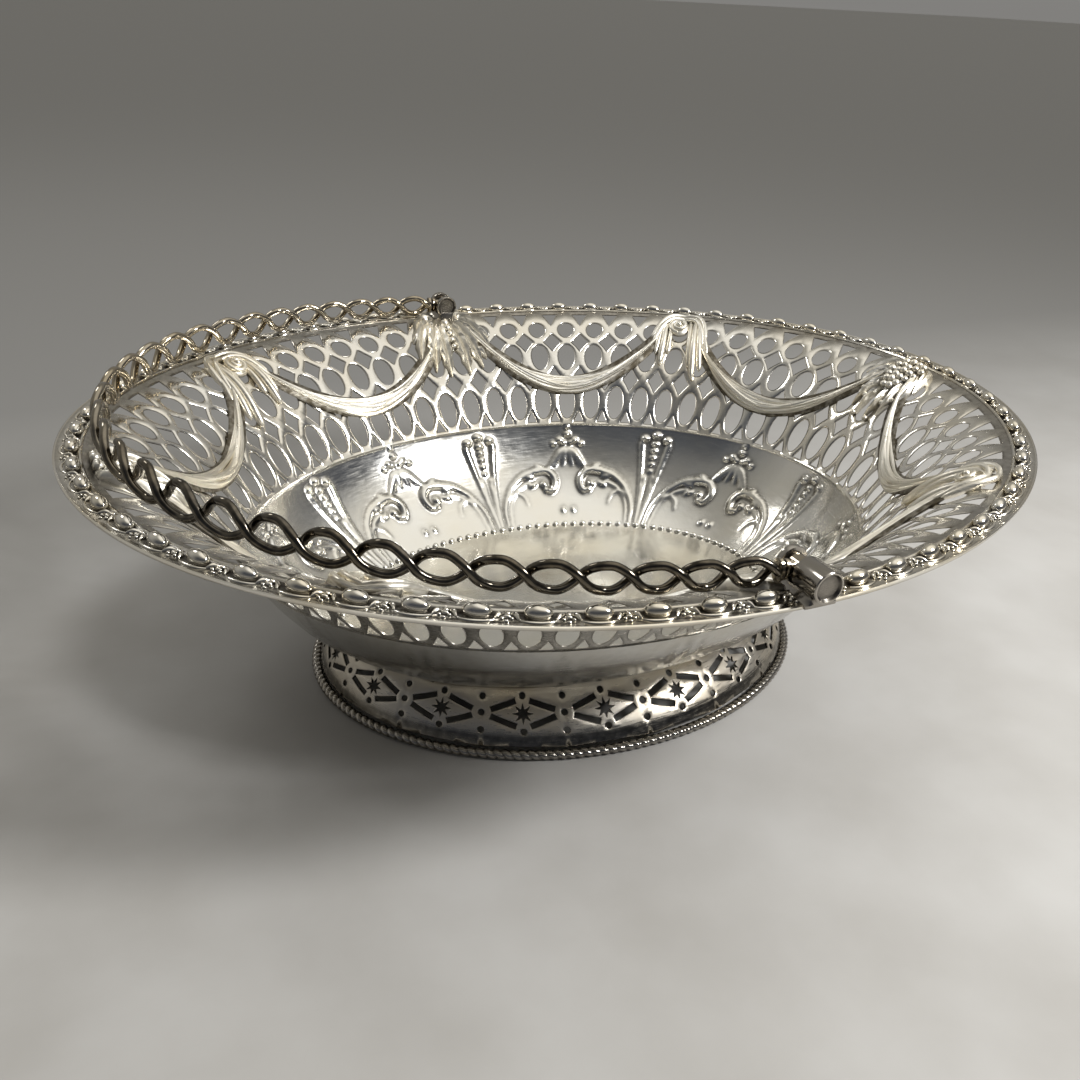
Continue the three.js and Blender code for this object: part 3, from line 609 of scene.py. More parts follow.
def stain_and_shade(depth, start, full):
    """Tarnish and painted shade that set in at one place and reach their full depth at another."""
    return lambda place: depth * np.clip((place - start) / (full - start), 0, 1)


def make_pierced_wall():
    shape = Shape()
    ends = (WALL_TOP * WALL_LENGTH, WALL_BOTTOM * WALL_LENGTH)
    band = [(0, y) for y in np.linspace(BAND_TOP, BAND_BOTTOM, 5) * WALL_LENGTH]
    add_pierced_sheet(
        shape, flare, 1, WALL_PITCH, WALL_LENGTH, ends, wall_holes(), WALL_RINGS, WALL_EDGE,
        WALL_SHEET, band, stain_and_shade(*WALL_BAND_SHADE),
    )
    make_piece("wall_piercing", shape, SHEET_SILVER, "silver_sheet", "basket", "pierced_wall")


# Rim border: a thin edge, a row of shells, a row of beads and pellets, and a low inner lip
BORDER_SECTION = [
    # down, lift, and tarnish with painted shade, darkest under the beads and on the undersides
    [0.0, -0.9, 0.6],
    [-0.003, -0.3, 0.3],
    [-0.002, 0.25, 0.0],
    [0.004, 0.45, 0.0],
    [0.01, 0.2, 0.5],
    [0.03, 0.05, 0.25],
    [0.048, 0.0, 0.8],
    [0.076, -0.2, 1.0],
    [0.1, 0.1, 1.0],
    [0.108, 0.6, 0.1],
    [0.115, 0.6, 0.1],
    [0.122, 0.2, 0.6],
    [0.123, -0.6, 0.9],
]
BEAD_COLUMN, BEAD_DOWN = 0.15, 0.076
BEAD_SIZE, BEAD_LIFT = (3.9, 2.3, 2.4), 0.9
BORDER_PELLETS = [
    # across from a bead, down, half sizes
    [0.5, 0.086, (0.85, 1.2, 0.9)],
    [0.5, 0.062, (1.1, 0.75, 0.8)],
    [0.42, 0.05, (0.6, 0.55, 0.6)],
    [0.58, 0.05, (0.6, 0.55, 0.6)],
    [0.5, 0.034, (0.7, 0.5, 0.5)],
]
SHELL = [[-0.3, 0.046], [-0.18, 0.032], [0, 0.027], [0.18, 0.032], [0.3, 0.046]]
LIP = [[-0.25, 0.106], [0, 0.112], [0.25, 0.106]]
FROND = [[0.05, 0.088], [0.14, 0.07], [0.2, 0.045]]
BORDER_STEPS = 8  # in one column
HINGE_HALF = 0.3  # columns beside a hinge that have no ornament


def clear_of_hinges(columns):
    return columns[np.abs(columns % (COLUMNS / 2) - COLUMNS / 4) > HINGE_HALF]


def make_border():
    shape = Shape()
    down, lift, tarnish = np.array(BORDER_SECTION).T
    count = COLUMNS * BORDER_STEPS
    stations = np.arange(count)[:, None] / BORDER_STEPS
    add_sweep(shape, lifted(flare, stations, down, lift), True, np.tile(tarnish, count))
    places = np.arange(COLUMNS) + BEAD_COLUMN
    beads = clear_of_hinges(places)
    add_beads(
        shape, flare, beads, BEAD_DOWN, BEAD_SIZE, BEAD_LIFT, segments=22, rings=14, tarnish=0.5
    )
    for k in beads:
        shell, lip = mirrored(SHELL, k, 1), mirrored(LIP, k, 1)
        add_strip(shape, flare, shell, hump(0.25, 0.6), hump(0.2, 0.6), count=14, dark=0.9)
        add_strip(shape, flare, lip, hump(0.2, 0.45), hump(0.5, 1.0), count=10)
        for way in (-1, 1):
            frond = mirrored(FROND, k + 0.5, way)
            add_strip(shape, flare, frond, hump(0.3, 0.75), hump(0.4, 1.2), count=8, dark=0.8)
    for across, down, size in BORDER_PELLETS:
        pellets = clear_of_hinges(places + across)
        add_beads(shape, flare, pellets, down, size, 0.1, segments=10, rings=7, tarnish=0.9)
    make_piece("rim_beading", shape, CAST_SILVER, "silver_cast", "basket", "beaded_border")


# Dish: the chased side, the plain floor and the beading between them
DISH_COLUMNS = 128  # in one eighth
DISH_ROWS = 74
OUTSIDE_ROWS = 22
SECTOR_PITCH = 9.0
SIDE_LENGTH_DOWN = 54.0
STROKE_STATIONS = 40
EDGE_LIFT, EDGE_DEPTH = 0.25, 0.02  # the side's raised top edge
OUTSIDE_RELIEF = 0.28  # as part of the relief inside
RECESS_GAIN, RECESS_MOST = 3.5, 0.9  # tarnish and painted shade in the hollows beside the relief


class Relief:
    """Heights over one eighth of the side, in millimetres, drawn by strokes and bosses.
    Across is 0 at the middle of the eighth and 4 at its ends, and down runs from 0 to 1."""

    def __init__(self, across, down):
        self.x, self.y = across * SECTOR_PITCH, down * SIDE_LENGTH_DOWN
        self.height = np.zeros(np.broadcast(across, down).shape)

    def raise_to(self, height):
        self.height = np.maximum(self.height, height)

    def boss(self, across, down, half_wide, half_high, height, turn=0.0):
        dx, dy = self.x - across * SECTOR_PITCH, self.y - down * SIDE_LENGTH_DOWN
        a = (dx * math.cos(turn) + dy * math.sin(turn)) / half_wide
        b = (dy * math.cos(turn) - dx * math.sin(turn)) / half_high
        self.raise_to(height * np.sqrt(np.clip(1 - a * a - b * b, 0, 1)))

    def stroke(self, path, wide, high, groove=0.0):
        line = smooth(path, STROKE_STATIONS) * [SECTOR_PITCH, SIDE_LENGTH_DOWN]
        share = np.linspace(0, 1, STROKE_STATIONS)
        widths, heights = wide(share), high(share)
        best = np.full(self.height.shape, -1.0)
        for i in range(STROKE_STATIONS - 1):
            a, step = line[i], line[i + 1] - line[i]
            t = ((self.x - a[0]) * step[0] + (self.y - a[1]) * step[1]) / (step @ step)
            t = np.clip(t, 0, 1)
            away = np.hypot(self.x - a[0] - t * step[0], self.y - a[1] - t * step[1])
            width = mix(widths[i], widths[i + 1], t)
            q = np.clip(away / width, 0, 1)
            shape = np.sqrt(1 - q * q) - groove * np.exp(-((q / 0.22) ** 2))
            best = np.maximum(best, np.where(q < 1, mix(heights[i], heights[i + 1], t) * shape, 0))
        self.raise_to(best)


def beaded_column(relief, middle):
    """A tapered column of beads between two ribs, with three beads fanned at its head."""
    for way in (-1, 1):
        rib = mirrored([[0.62, 0.17], [0.36, 0.55], [0.06, 1.04]], middle, way)
        relief.stroke(rib, taper(1.1, 0.6), taper(0.9, 0.5))
        relief.boss(middle + way * 0.5, 0.125, 1.75, 1.75, 1.5)
        flute = mirrored([[0.2, 0.5], [0.03, 1.03]], middle, way)
        relief.stroke(flute, taper(0.6, 0.45), taper(0.7, 0.4))
    relief.boss(middle, 0.085, 1.8, 1.8, 1.7)
    for k in range(5):
        size = mix(1.65, 1.05, k / 4)
        relief.boss(middle, 0.17 + 0.068 * k, size, size, mix(1.4, 0.9, k / 4))


def palmette(relief):
    """Fronds that hang from a cluster of beads."""
    relief.boss(0, 0.035, 0.9, 1.3, 1.1)
    relief.boss(0, 0.105, 1.3, 1.4, 1.4)
    for way in (-1, 1):
        for across, down, size in [[0.34, 0.165, 1.25], [0.62, 0.2, 1.2], [0.16, 0.19, 1.1]]:
            relief.boss(way * across, down, size, size, 1.3)
        for bend, end, wide in [[0.22, 0.4, 1.2], [0.62, 0.42, 1.2], [0.95, 0.47, 1.0]]:
            frond = mirrored([[0.08, 0.23], [bend * 0.45, 0.3], [bend, end]], 0, way)
            relief.stroke(frond, hump(0.7, wide), hump(0.5, 1.1), 0.35)


ARCH_STROKES = [
    # path, width and height from its start to its end, and groove
    [
        [[3.55, 0.99], [3.42, 0.8], [2.9, 0.62], [2.15, 0.5], [1.45, 0.47]],
        (0.8, 1.9), (0.6, 1.3), 0.25,
    ],
    [[[3.3, 0.97], [3.1, 0.78], [2.6, 0.64], [1.9, 0.57]], (0.55, 0.9), (0.35, 0.7), 0],
    [
        [[1.6, 0.465], [0.95, 0.47], [0.62, 0.56], [0.78, 0.66], [1.12, 0.655]],
        (1.9, 1.1), (1.4, 1.5), 0.2,
    ],
    [[[3.05, 0.7], [2.7, 0.66], [2.3, 0.7], [2.15, 0.78]], (0.9, 0.5), (0.7, 0.5), 0],
]
ARCH_LEAVES = [
    # across, down, turn and half length
    [1.75, 0.6, 0.5, 2.4],
    [1.9, 0.53, 0.1, 2.6],
    [1.3, 0.43, -0.5, 2.4],
]


def scroll_arch(relief, way):
    """An arch that springs from the column's foot and curls in under the palmette."""
    for path, wide, high, groove in ARCH_STROKES:
        relief.stroke(mirrored(path, 0, way), taper(*wide), taper(*high), groove)
    relief.boss(way * 1.2, 0.6, 1.7, 1.8, 1.5)
    for across, down, turn, long in ARCH_LEAVES:
        relief.boss(way * across, down, long, 0.95, 1.2, turn * way)


def draw_relief(across, down):
    """The chasing of one eighth: half a column at each end and a palmette over two arches."""
    relief = Relief(across, down)
    for end in (-4, 4):
        beaded_column(relief, end)
    palmette(relief)
    for way in (-1, 1):
        scroll_arch(relief, way)
        relief.boss(way * 0.28, 0.85, 1.5, 1.2, 1.0, way * 0.5)
    return relief.height


def soften(values, times):
    for _ in range(times):
        across = (np.roll(values, 1, 0) + np.roll(values, -1, 0) + 2 * values) / 4
        padded = np.pad(across, ((0, 0), (1, 1)), mode="edge")
        values = (padded[:, :-2] + padded[:, 2:] + 2 * across) / 4
    return values


def make_dish_side():
    shape = Shape()
    across = np.arange(DISH_COLUMNS)[:, None] / DISH_COLUMNS * MOUNT_STEP - MOUNT_STEP / 2
    inner_down = np.linspace(0, 1.0, DISH_ROWS)
    outer_down = np.linspace(1.0, 0, OUTSIDE_ROWS)

    def heights(down, softness):
        return np.tile(soften(draw_relief(across, down[None]), softness), (SWAGS, 1))

    inside_height, outside_height = heights(inner_down, 1), heights(outer_down, 2)
    recess = (soften(inside_height, 6) - inside_height) * RECESS_GAIN
    column = np.arange(DISH_COLUMNS * SWAGS)[:, None] / DISH_COLUMNS * MOUNT_STEP
    edge = np.clip(1 - inner_down / EDGE_DEPTH, 0, 1)[None]
    inner = lifted(side, column, inner_down, inside_height + EDGE_LIFT * edge)
    outer = lifted(side, column, outer_down, -SHEET - OUTSIDE_RELIEF * outside_height)
    sections = np.concatenate([inner, outer], axis=1)
    # Painted shade with tarnish in the hollows of the relief inside; outside, a painted reflection
    # of the table beneath, darker all over and most on the relief
    dark = [np.clip(recess, 0, RECESS_MOST), 0.25 + 0.3 * np.clip(outside_height, 0, 1)]
    add_sweep(shape, sections, True, np.concatenate(dark, axis=1))
    make_piece("dish_chasing", shape, CHASED_SILVER, "silver_sheet", "basket", "dish")


FLOOR_STATIONS = 256
FLOOR_BEADS = 120
FLOOR_BEAD, FLOOR_BEAD_DOWN = (1.5, 1.25, 0.95), 0.985
FLOOR_RINGS = [1.0, 0.985, 0.965, 0.9, 0.8, 0.6, 0.4, 0.2, 0.06]
HUB_RING = 0.061  # the hub fills the last ring and laps over it
FLOOR_LIFTS = [0.25, 0.15, 0.0, 0.0, -0.05, -0.1, -0.15, -0.15, -0.15]


def make_dish_floor():
    shape = Shape()
    column = np.arange(FLOOR_STATIONS)[:, None] * COLUMNS / FLOOR_STATIONS
    angle = column_angle(column)
    rings, lifts = np.array(FLOOR_RINGS), np.array(FLOOR_LIFTS)
    half_length, half_width = FLOOR_LENGTH / 2, FLOOR_WIDTH / 2
    top = oval(half_length * rings, half_width * rings, FLOOR_HEIGHT + lifts, angle)
    low = oval(half_length * rings, half_width * rings, FLOOR_HEIGHT - SHEET, angle)[:, ::-1]
    sections = np.concatenate([top, low], axis=1)
    add_sweep(shape, sections, True)
    hub = [
        oval(half_length * HUB_RING, half_width * HUB_RING, FLOOR_HEIGHT + lift, angle[:, 0])
        for lift in (FLOOR_LIFTS[-1], -SHEET)
    ]
    add_sweep(shape, np.array(hub))
    places = np.arange(FLOOR_BEADS) * COLUMNS / FLOOR_BEADS
    options = {"lift": 0.35, "turn": 0.5, "segments": 10, "rings": 7, "tarnish": 1.0}
    add_beads(shape, side, places, FLOOR_BEAD_DOWN, FLOOR_BEAD, **options)
    make_piece("dish_floor", shape, CHASED_SILVER, "silver_sheet", "basket", "dish")


# Swags: strands of drapery that hang in curves from one mount to the next
SWAG_STRANDS = [
    # top, drop, radius in the middle, lift
    [0.302, 0.412, 0.9, 0.4],
    [0.296, 0.434, 1.05, 1.0],
    [0.290, 0.457, 1.15, 1.5],
    [0.284, 0.480, 1.15, 1.6],
    [0.278, 0.503, 1.1, 1.2],
    [0.272, 0.525, 1.0, 0.5],
]
SWAG_OVERLAYS = [
    # start and end of its length, lane at each from the upper edge to the lower, and radius
    [0.06, 0.6, 0.1, 0.85, 0.8],
    [0.36, 0.92, 0.85, 0.2, 0.8],
    [0.16, 0.84, 0.45, 0.55, 0.65],
]
UNDER_TOP, UNDER_DROP, UNDER_RADIUS, UNDER_LIFT = 0.287, 0.468, 4.6, 0.5
SWAG_END, SWAG_SEED, STRAND_WAVE = 0.5, 40, 0.006
SWAG_STATIONS, OVERLAY_STATIONS = 44, 24


def swag_place(i, share):
    """The column, and how far a swag has sunk there, from 0 at its ends to 1 in the middle."""
    column = i * MOUNT_STEP + SWAG_END + (MOUNT_STEP - 2 * SWAG_END) * share
    return column, (4 * share * (1 - share)) ** 0.7


def make_swag(i):
    shape = Shape()
    share = np.linspace(0.0, 1.0, SWAG_STATIONS)
    share = share - 0.1 * np.sin(TURN * share) / TURN
    column, sag = swag_place(i, share)
    bulk = 0.68 + 0.32 * np.sin(math.pi * share) ** 0.8
    rng = np.random.default_rng(SWAG_SEED + i)
    for top, drop, radius, lift in SWAG_STRANDS:
        wave = np.sin(share * TURN * 1.5 + rng.uniform(0, TURN)) * np.sin(math.pi * share)
        pulse = 1 + 0.08 * np.sin(share * TURN * 4 + rng.uniform(0, TURN))
        down = top + drop * sag + STRAND_WAVE * wave
        radii = radius * bulk * pulse
        add_roll(shape, column, down, 0.3 + lift * bulk, radii, flat=1.15, tarnish=0.12)
    (low_top, low_drop), (high_top, high_drop) = SWAG_STRANDS[0][:2], SWAG_STRANDS[-1][:2]
    bell = np.sin(math.pi * np.linspace(0, 1, OVERLAY_STATIONS))
    for start, end, first, last, radius in SWAG_OVERLAYS:
        t = np.linspace(start, end, OVERLAY_STATIONS)
        lane = mix(first, last, (t - start) / (end - start))
        place, hang = swag_place(i, t)
        down = mix(low_top, high_top, lane) + mix(low_drop, high_drop, lane) * hang
        lift = 2.0 + 0.5 * np.sin(math.pi * t)
        add_roll(shape, place, down, lift, radius * (0.15 + bell), sides=8)
    # A flat band under the strands, dark all over: painted shade in the gaps between them
    under = UNDER_TOP + UNDER_DROP * sag
    radii = UNDER_RADIUS * bulk
    add_roll(shape, column, under, UNDER_LIFT, radii, sides=12, flat=0.25, tarnish=1.0)
    name = f"swag_{i + 1}"
    make_piece(name + "_drapery", shape, APPLIED_SILVER, "silver_cast", "basket", name)


PLEAT_STATIONS = 24


def add_pleat(shape, path, radius, lift):
    """A rounded fold of drapery that widens as it falls, on the flare."""
    column, down = smooth(path, PLEAT_STATIONS).T
    share = np.linspace(0, 1, PLEAT_STATIONS)
    blunt = np.sqrt(np.clip(1 - ((share - 0.8) / 0.2).clip(0, 1) ** 2, 0.02, 1))
    lift = lift * np.sin(math.pi * np.clip(share, 0.1, 0.85))
    radii = radius * mix(0.6, 1.0, share) * blunt
    add_roll(shape, column, down, lift, radii, sides=12, flat=1.1, tarnish=0.1)


VOLUTE_RADIUS, VOLUTE_TURNS, VOLUTE_DOWN = 4.2, 1.6, 0.302
PLEATS = [
    # start, end, radius and lift; the longer fall first
    [(0.22, 0.2), (0.6, 0.6), 1.5, 1.6],
    [(0.38, 0.19), (0.84, 0.68), 1.9, 2.3],
    [(0.52, 0.2), (1.06, 0.62), 1.7, 1.6],
    [(0.66, 0.22), (1.16, 0.5), 1.3, 1.0],
    [(-0.36, 0.22), (-0.26, 0.52), 1.4, 1.4],
    [(-0.52, 0.21), (-0.5, 0.6), 1.7, 1.9],
    [(-0.66, 0.22), (-0.72, 0.53), 1.4, 1.3],
]
OVER_PATH = [[-0.15, 0.16], [0.35, 0.175], [0.68, 0.25], [0.95, 0.4]]
OVER_FOLDS = [[0.0, 1.5, 1.6], [0.05, 1.4, 2.4]]  # inset, radius and lift


def make_volute_mount(name, middle, way):
    """A scroll over the swags' ends, with a fall of drapery on each side, one longer."""
    shape = Shape()
    for start, end, radius, lift in PLEATS:
        bend = (mix(start[0], end[0], 0.4), mix(start[1], end[1], 0.5))
        add_pleat(shape, mirrored([start, bend, end], middle, way), radius, lift)
    for side_way in (-1, 1):
        for inset, radius, lift in OVER_FOLDS:
            path = [[across - inset, down + inset] for across, down in OVER_PATH]
            add_pleat(shape, mirrored(path, middle, side_way), radius, lift)
    eye, down = middle - 0.1 * way, VOLUTE_DOWN
    add_beads(shape, flare, eye, down, (5.2, 5.2, 2.2), lift=0.6, segments=28, tarnish=1.0)
    share = np.linspace(0, 1, 60)
    angle = way * (math.pi / 2 - share * VOLUTE_TURNS * TURN)
    reach = VOLUTE_RADIUS * mix(1.0, 0.3, share)
    column = eye + reach * np.cos(angle) / WALL_PITCH
    place = down - reach * np.sin(angle) / WALL_LENGTH
    radii = mix(1.25, 0.8, share)
    add_roll(shape, column, place, 2.3 + 1.2 * share, radii, sides=12, tarnish=0.1)
    add_beads(shape, flare, eye, down, (1.4, 1.4, 1.5), lift=3.4, tarnish=0.3)
    make_piece(name + "_scroll", shape, APPLIED_SILVER, "silver_cast", "basket", name)


LEAF_SPRAYS = [
    # path, half width and lobes
    [[[0.24, 0.16], [0.72, 0.2], [1.15, 0.34]], 3.4, 3],
    [[[0.26, 0.18], [0.86, 0.3], [1.38, 0.55]], 4.6, 5],
    [[[0.22, 0.19], [0.6, 0.4], [0.92, 0.62]], 4.8, 5],
    [[[0.16, 0.2], [0.32, 0.44], [0.38, 0.66]], 4.8, 5],
]
SHORT_LEAVES = [[0.95, 0.3, 0.4], [0.82, 0.46, 0.3]]


def make_leaf_mount(name, middle):
    """Acanthus sprays on both sides of the hinge, and a short chain of beads below it."""
    shape = Shape()
    for way in (-1, 1):
        for path, wide, lobes in LEAF_SPRAYS:
            spray = mirrored(path, middle, way)
            add_strip(shape, flare, spray, leaf(wide, lobes), hump(1.2, 3.4), VEINED, 34, dark=0.6)
        for across, down, reach in SHORT_LEAVES:
            blade = mirrored([[across, down], [across + reach, down + 0.1]], middle, way)
            add_strip(shape, flare, blade, leaf(1.6), hump(0.8, 3.2), count=10, dark=0.6)
    for k in range(5):
        size = mix(1.9, 1.2, k / 4)
        add_beads(shape, flare, middle, 0.26 + 0.05 * k, [size] * 3, lift=1.8, tarnish=0.5)
    stem = [[middle, 0.14], [middle, 0.25]]
    add_strip(shape, flare, stem, taper(1.6, 1.2), taper(1.6, 1.8), count=8)
    make_piece(name + "_acanthus", shape, APPLIED_SILVER, "silver_cast", "basket", name)


BERRY_ROWS = [[0.17, 4], [0.215, 5], [0.26, 5], [0.305, 4], [0.35, 3], [0.39, 2]]
BERRY_STEP = 0.23
SPRIGS = [
    # path and half width
    [[[0.4, 0.17], [0.75, 0.22], [1.1, 0.36]], 2.6],
    [[[0.4, 0.22], [0.78, 0.33], [0.98, 0.5]], 2.73],
    [[[0.32, 0.32], [0.55, 0.44], [0.62, 0.58]], 2.34],
    [[[0.12, 0.4], [0.24, 0.5], [0.2, 0.62]], 1.82],
]
LOOSE_BERRIES = [[0.42, 0.5], [0.7, 0.46], [0.32, 0.62]]


def make_berry_mount(name, middle, seed):
    """A bunch of round berries with sprigs of leaf, where the end swags meet."""
    shape = Shape()
    rng = np.random.default_rng(seed)
    for down, count in BERRY_ROWS:
        for k in range(count):
            across = (k - (count - 1) / 2) * BERRY_STEP + rng.uniform(-0.03, 0.03)
            size = rng.uniform(1.5, 1.95)
            lift = 2.0 - 1.8 * abs(across) + rng.uniform(-0.2, 0.4)
            place = down + rng.uniform(-0.008, 0.008)
            add_beads(shape, flare, middle + across, place, [size] * 3, lift=lift, tarnish=0.9)
    for way in (-1, 1):
        for path, wide in SPRIGS:
            sprig = mirrored(path, middle, way)
            add_strip(shape, flare, sprig, leaf(wide, 3), hump(1.0, 3.0), VEINED, 26, dark=0.6)
        for column, down in mirrored(LOOSE_BERRIES, middle, way):
            add_beads(shape, flare, column, down, [1.3] * 3, lift=0.9, tarnish=0.8)
    make_piece(name + "_bunch", shape, APPLIED_SILVER, "silver_cast", "basket", name)


# Foot band: a pierced skirt with a trellis of slots, a star in each lozenge and round dots
FOOT_PITCH = 28.8
FOOT_SLANT = 20.5
TRELLIS_TOP, TRELLIS_MIDDLE, TRELLIS_BOTTOM = 0.16, 0.42, 0.68
SLOT_START, SLOT_END, SLOT_WIDTH = 0.22, 0.83, 2.1
STAR_RADIUS, STAR_INNER = 3.6, 1.6
DOT_RADIUS = 1.2
FOOT_RINGS = (0.3,)
FOOT_EDGE = (0.32, 0.14, 0.1)
# Painted shade on the foot's lower band: darker below down 0.72, fully so below 0.82
FOOT_BAND_SHADE = (0.85, 0.72, 0.82)
FOOT_CLEAR = 0.9  # from an opening to the nearest inner point of the mesh


def foot_holes():
    holes = []

    def add(place, down, kind, *sizes):
        holes.append(((place * FOOT_PITCH, down * FOOT_SLANT), partial(kind, *sizes)))

    dot = (ellipse_hole, DOT_RADIUS, DOT_RADIUS, 10)
    add(0, TRELLIS_MIDDLE, star_hole, STAR_RADIUS, STAR_INNER, 8)
    middle = (SLOT_START + SLOT_END) / 2
    for way in (-1, 1):
        for tip in (TRELLIS_TOP, TRELLIS_BOTTOM):
            run = np.array([-way * FOOT_PITCH / 2, (tip - TRELLIS_MIDDLE) * FOOT_SLANT])
            size = np.linalg.norm(run) * (SLOT_END - SLOT_START), SLOT_WIDTH
            down = mix(TRELLIS_MIDDLE, tip, middle)
            add(way * (1 - middle) / 2, down, slot_hole, *size, math.atan2(run[1], run[0]))
        for down in (TRELLIS_MIDDLE, TRELLIS_TOP - 0.02, TRELLIS_BOTTOM + 0.03):
            add(way / 2, down, *dot)
    for down in (TRELLIS_TOP - 0.04, TRELLIS_BOTTOM + 0.04):
        add(0, down, *dot)
    return holes


def make_foot():
    shape = Shape()
    holes = foot_holes()
    rows = np.linspace(0.03, 0.97, 14) * FOOT_SLANT
    places = np.linspace(-0.5, 0.5, 25)[1:-1] * FOOT_PITCH
    extra = np.array([(x, y) for x in places for y in rows])
    for centre, outline in holes:
        extra = extra[~inside(extra, centre + outline(FOOT_CLEAR))]
    add_pierced_sheet(
        shape, foot, COLUMNS / LOZENGES, FOOT_PITCH, FOOT_SLANT, (0.0, FOOT_SLANT), holes,
        FOOT_RINGS, FOOT_EDGE, SHEET, extra, stain_and_shade(*FOOT_BAND_SHADE),
    )
    make_piece("foot_trellis", shape, FOOT_SILVER, "silver_sheet", "basket", "foot_band")


# Rope border round the foot
ROPE_TURNS = 184
ROPE_STEPS = 9
ROPE_SIDES = 16
ROPE_CORE, ROPE_CROWN = 0.72, 1.06


def make_rope():
    shape = Shape()
    step = np.arange(ROPE_TURNS * ROPE_STEPS)[:, None]
    turn = np.arange(ROPE_SIDES)[None] * TURN / ROPE_SIDES
    ridge = np.abs(np.cos(step * TURN / ROPE_STEPS / 2 + turn)) ** 0.8
    reach = mix(ROPE_CORE, 1, ridge) / 2
    out = ROPE_WIDTH * (reach * np.cos(turn) - 0.5)
    height = np.clip(ROPE_HEIGHT * (0.5 + ROPE_CROWN * reach * np.sin(turn)), 0, None)
    angle = column_angle(step * COLUMNS / len(step))
    sections = oval(FOOT_LENGTH / 2 + out, FOOT_WIDTH / 2 + out, height, angle)
    # Painted shade in the grooves between the rope's twists, none on their ridges
    add_sweep(shape, sections, True, 0.95 * (1 - ridge) ** 1.5)
    make_piece("foot_rope", shape, HINGE_SILVER, "silver_cast", "basket", "foot_rope_border")


# Handle: two wires twisted round each other into a bail
LOOPS = 30
LOOP_PITCH = (14, 18.3)
STRAP_WIDTH = (9.6, 13.8)
WIRE_DIAMETER = (2.6, 2.8)
WIRE_SPREAD = 3.6
WIRE_START = 8.2
WIRE_STEPS, BAIL_STEPS = 18, 2881
WIRE_SIDES = 14
# Painted shade on the wires, dark on the bail's front half, with some tarnish: its depth, and the
# bail's angles where it sets in and where it is full
WIRE_SHADE, WIRE_SHADE_START, WIRE_SHADE_FULL = 0.8, 0.45, -0.35
BAIL_OUT = unit(np.array([-1, 0, REST_SLOPE]))
BAIL_UP = unit(np.array([REST_SLOPE, 0, 1]))
Y_AXIS = np.array([0.0, 1.0, 0.0])


def bail_point(angle):
    angle = np.asarray(angle)[..., None]
    reach = BAIL_OUT * BAIL_REACH * np.cos(angle) + Y_AXIS * BAIL_HALF_SPAN * np.sin(angle)
    return np.array([0, 0, HINGE_HEIGHT]) + reach


def wire_centres(way):
    end = math.acos(WIRE_START / BAIL_REACH)
    angles = np.linspace(-end, end, BAIL_STEPS)
    steps = np.linalg.norm(np.diff(bail_point(angles), axis=0), axis=1)
    length = np.concatenate([[0], np.cumsum(steps)])
    share = length / length[-1]
    pitch = mix(*LOOP_PITCH, np.sin(math.pi * share) ** 2)
    loops = np.concatenate([[0], np.cumsum(np.diff(length) / pitch[1:])])
    loops *= LOOPS / loops[-1]
    wanted = np.linspace(0, LOOPS, LOOPS * WIRE_STEPS + 1)
    angle = np.interp(wanted, loops, angles)
    bulk = np.sin(math.pi * (angle + end) / (2 * end)) ** 2
    wire = mix(*WIRE_DIAMETER, bulk)
    half = (mix(*STRAP_WIDTH, bulk) - wire) / 2
    along = unit(bail_point(angle + STEP) - bail_point(angle - STEP))
    outwards = unit(np.cross(along, BAIL_UP))
    twist = math.pi * (0.5 + wanted)
    across, over = np.cos(twist), np.sin(twist)
    across = np.sign(across) * np.abs(across) ** 0.8
    over = np.sign(over) * over**2
    rise = (way * half * across)[:, None] * BAIL_UP
    aside = (way * WIRE_SPREAD / 2 * over)[:, None] * outwards
    # Painted shade: the wires darken towards the bail's front end
    front_shade = stain_and_shade(WIRE_SHADE, WIRE_SHADE_START, WIRE_SHADE_FULL)(angle)
    return bail_point(angle) + rise + aside, wire / 2, front_shade


def make_wire(letter, way):
    shape = Shape()
    centres, radii, front_shade = wire_centres(way)
    shade = np.repeat(front_shade, WIRE_SIDES)
    add_tube(shape, centres, radii, BAIL_UP, sides=WIRE_SIDES, tarnish=shade)
    name = "handle_wire_" + letter
    make_piece(name + "_round", shape, HANDLE_SILVER, "silver_handle", "handle", name)


# Hinges: barrels along Y with dished ends, on a saddle that stands on the border and the wall
BARREL_RADIUS = 4.8
BARREL_INNER_END = 134
BARREL_OUTER_END = {"front": 152, "back": 144.5}
KNUCKLE_RADIUS = 3.4
KNUCKLE_INNER_END, KNUCKLE_OUTER_END = 136.5, 141.4
HINGE_ROOM = 0.3
PIN_RADIUS, PIN_ROOM = 1.6, 0.1
BORE_RADIUS = 1.8
CAP_DEPTH = 2.0  # from a barrel's end to the pin's


def add_turned(shape, way, profile, sides):
    """A ring turned about the hinge axis. profile is a closed run of [y, radius, tarnish
    and painted shade].
    """
    y, radius, tarnish = np.array(profile, float).T
    angle = np.arange(sides)[:, None] * TURN / sides
    x, z = radius * np.sin(angle), HINGE_HEIGHT + radius * np.cos(angle)
    points = np.stack(np.broadcast_arrays(x, way * y, z), -1)
    add_sweep(shape, points, True, np.tile(tarnish, sides))


def chamfered(start, end, inner, outer, along, cut):
    """The profile of a sleeve whose outer edges are cut off."""
    near = [[start, inner, 0], [start, outer - cut, 0], [start + along, outer, 0]]
    return near + [[end - along, outer, 0], [end, outer - cut, 0], [end, inner, 0]]


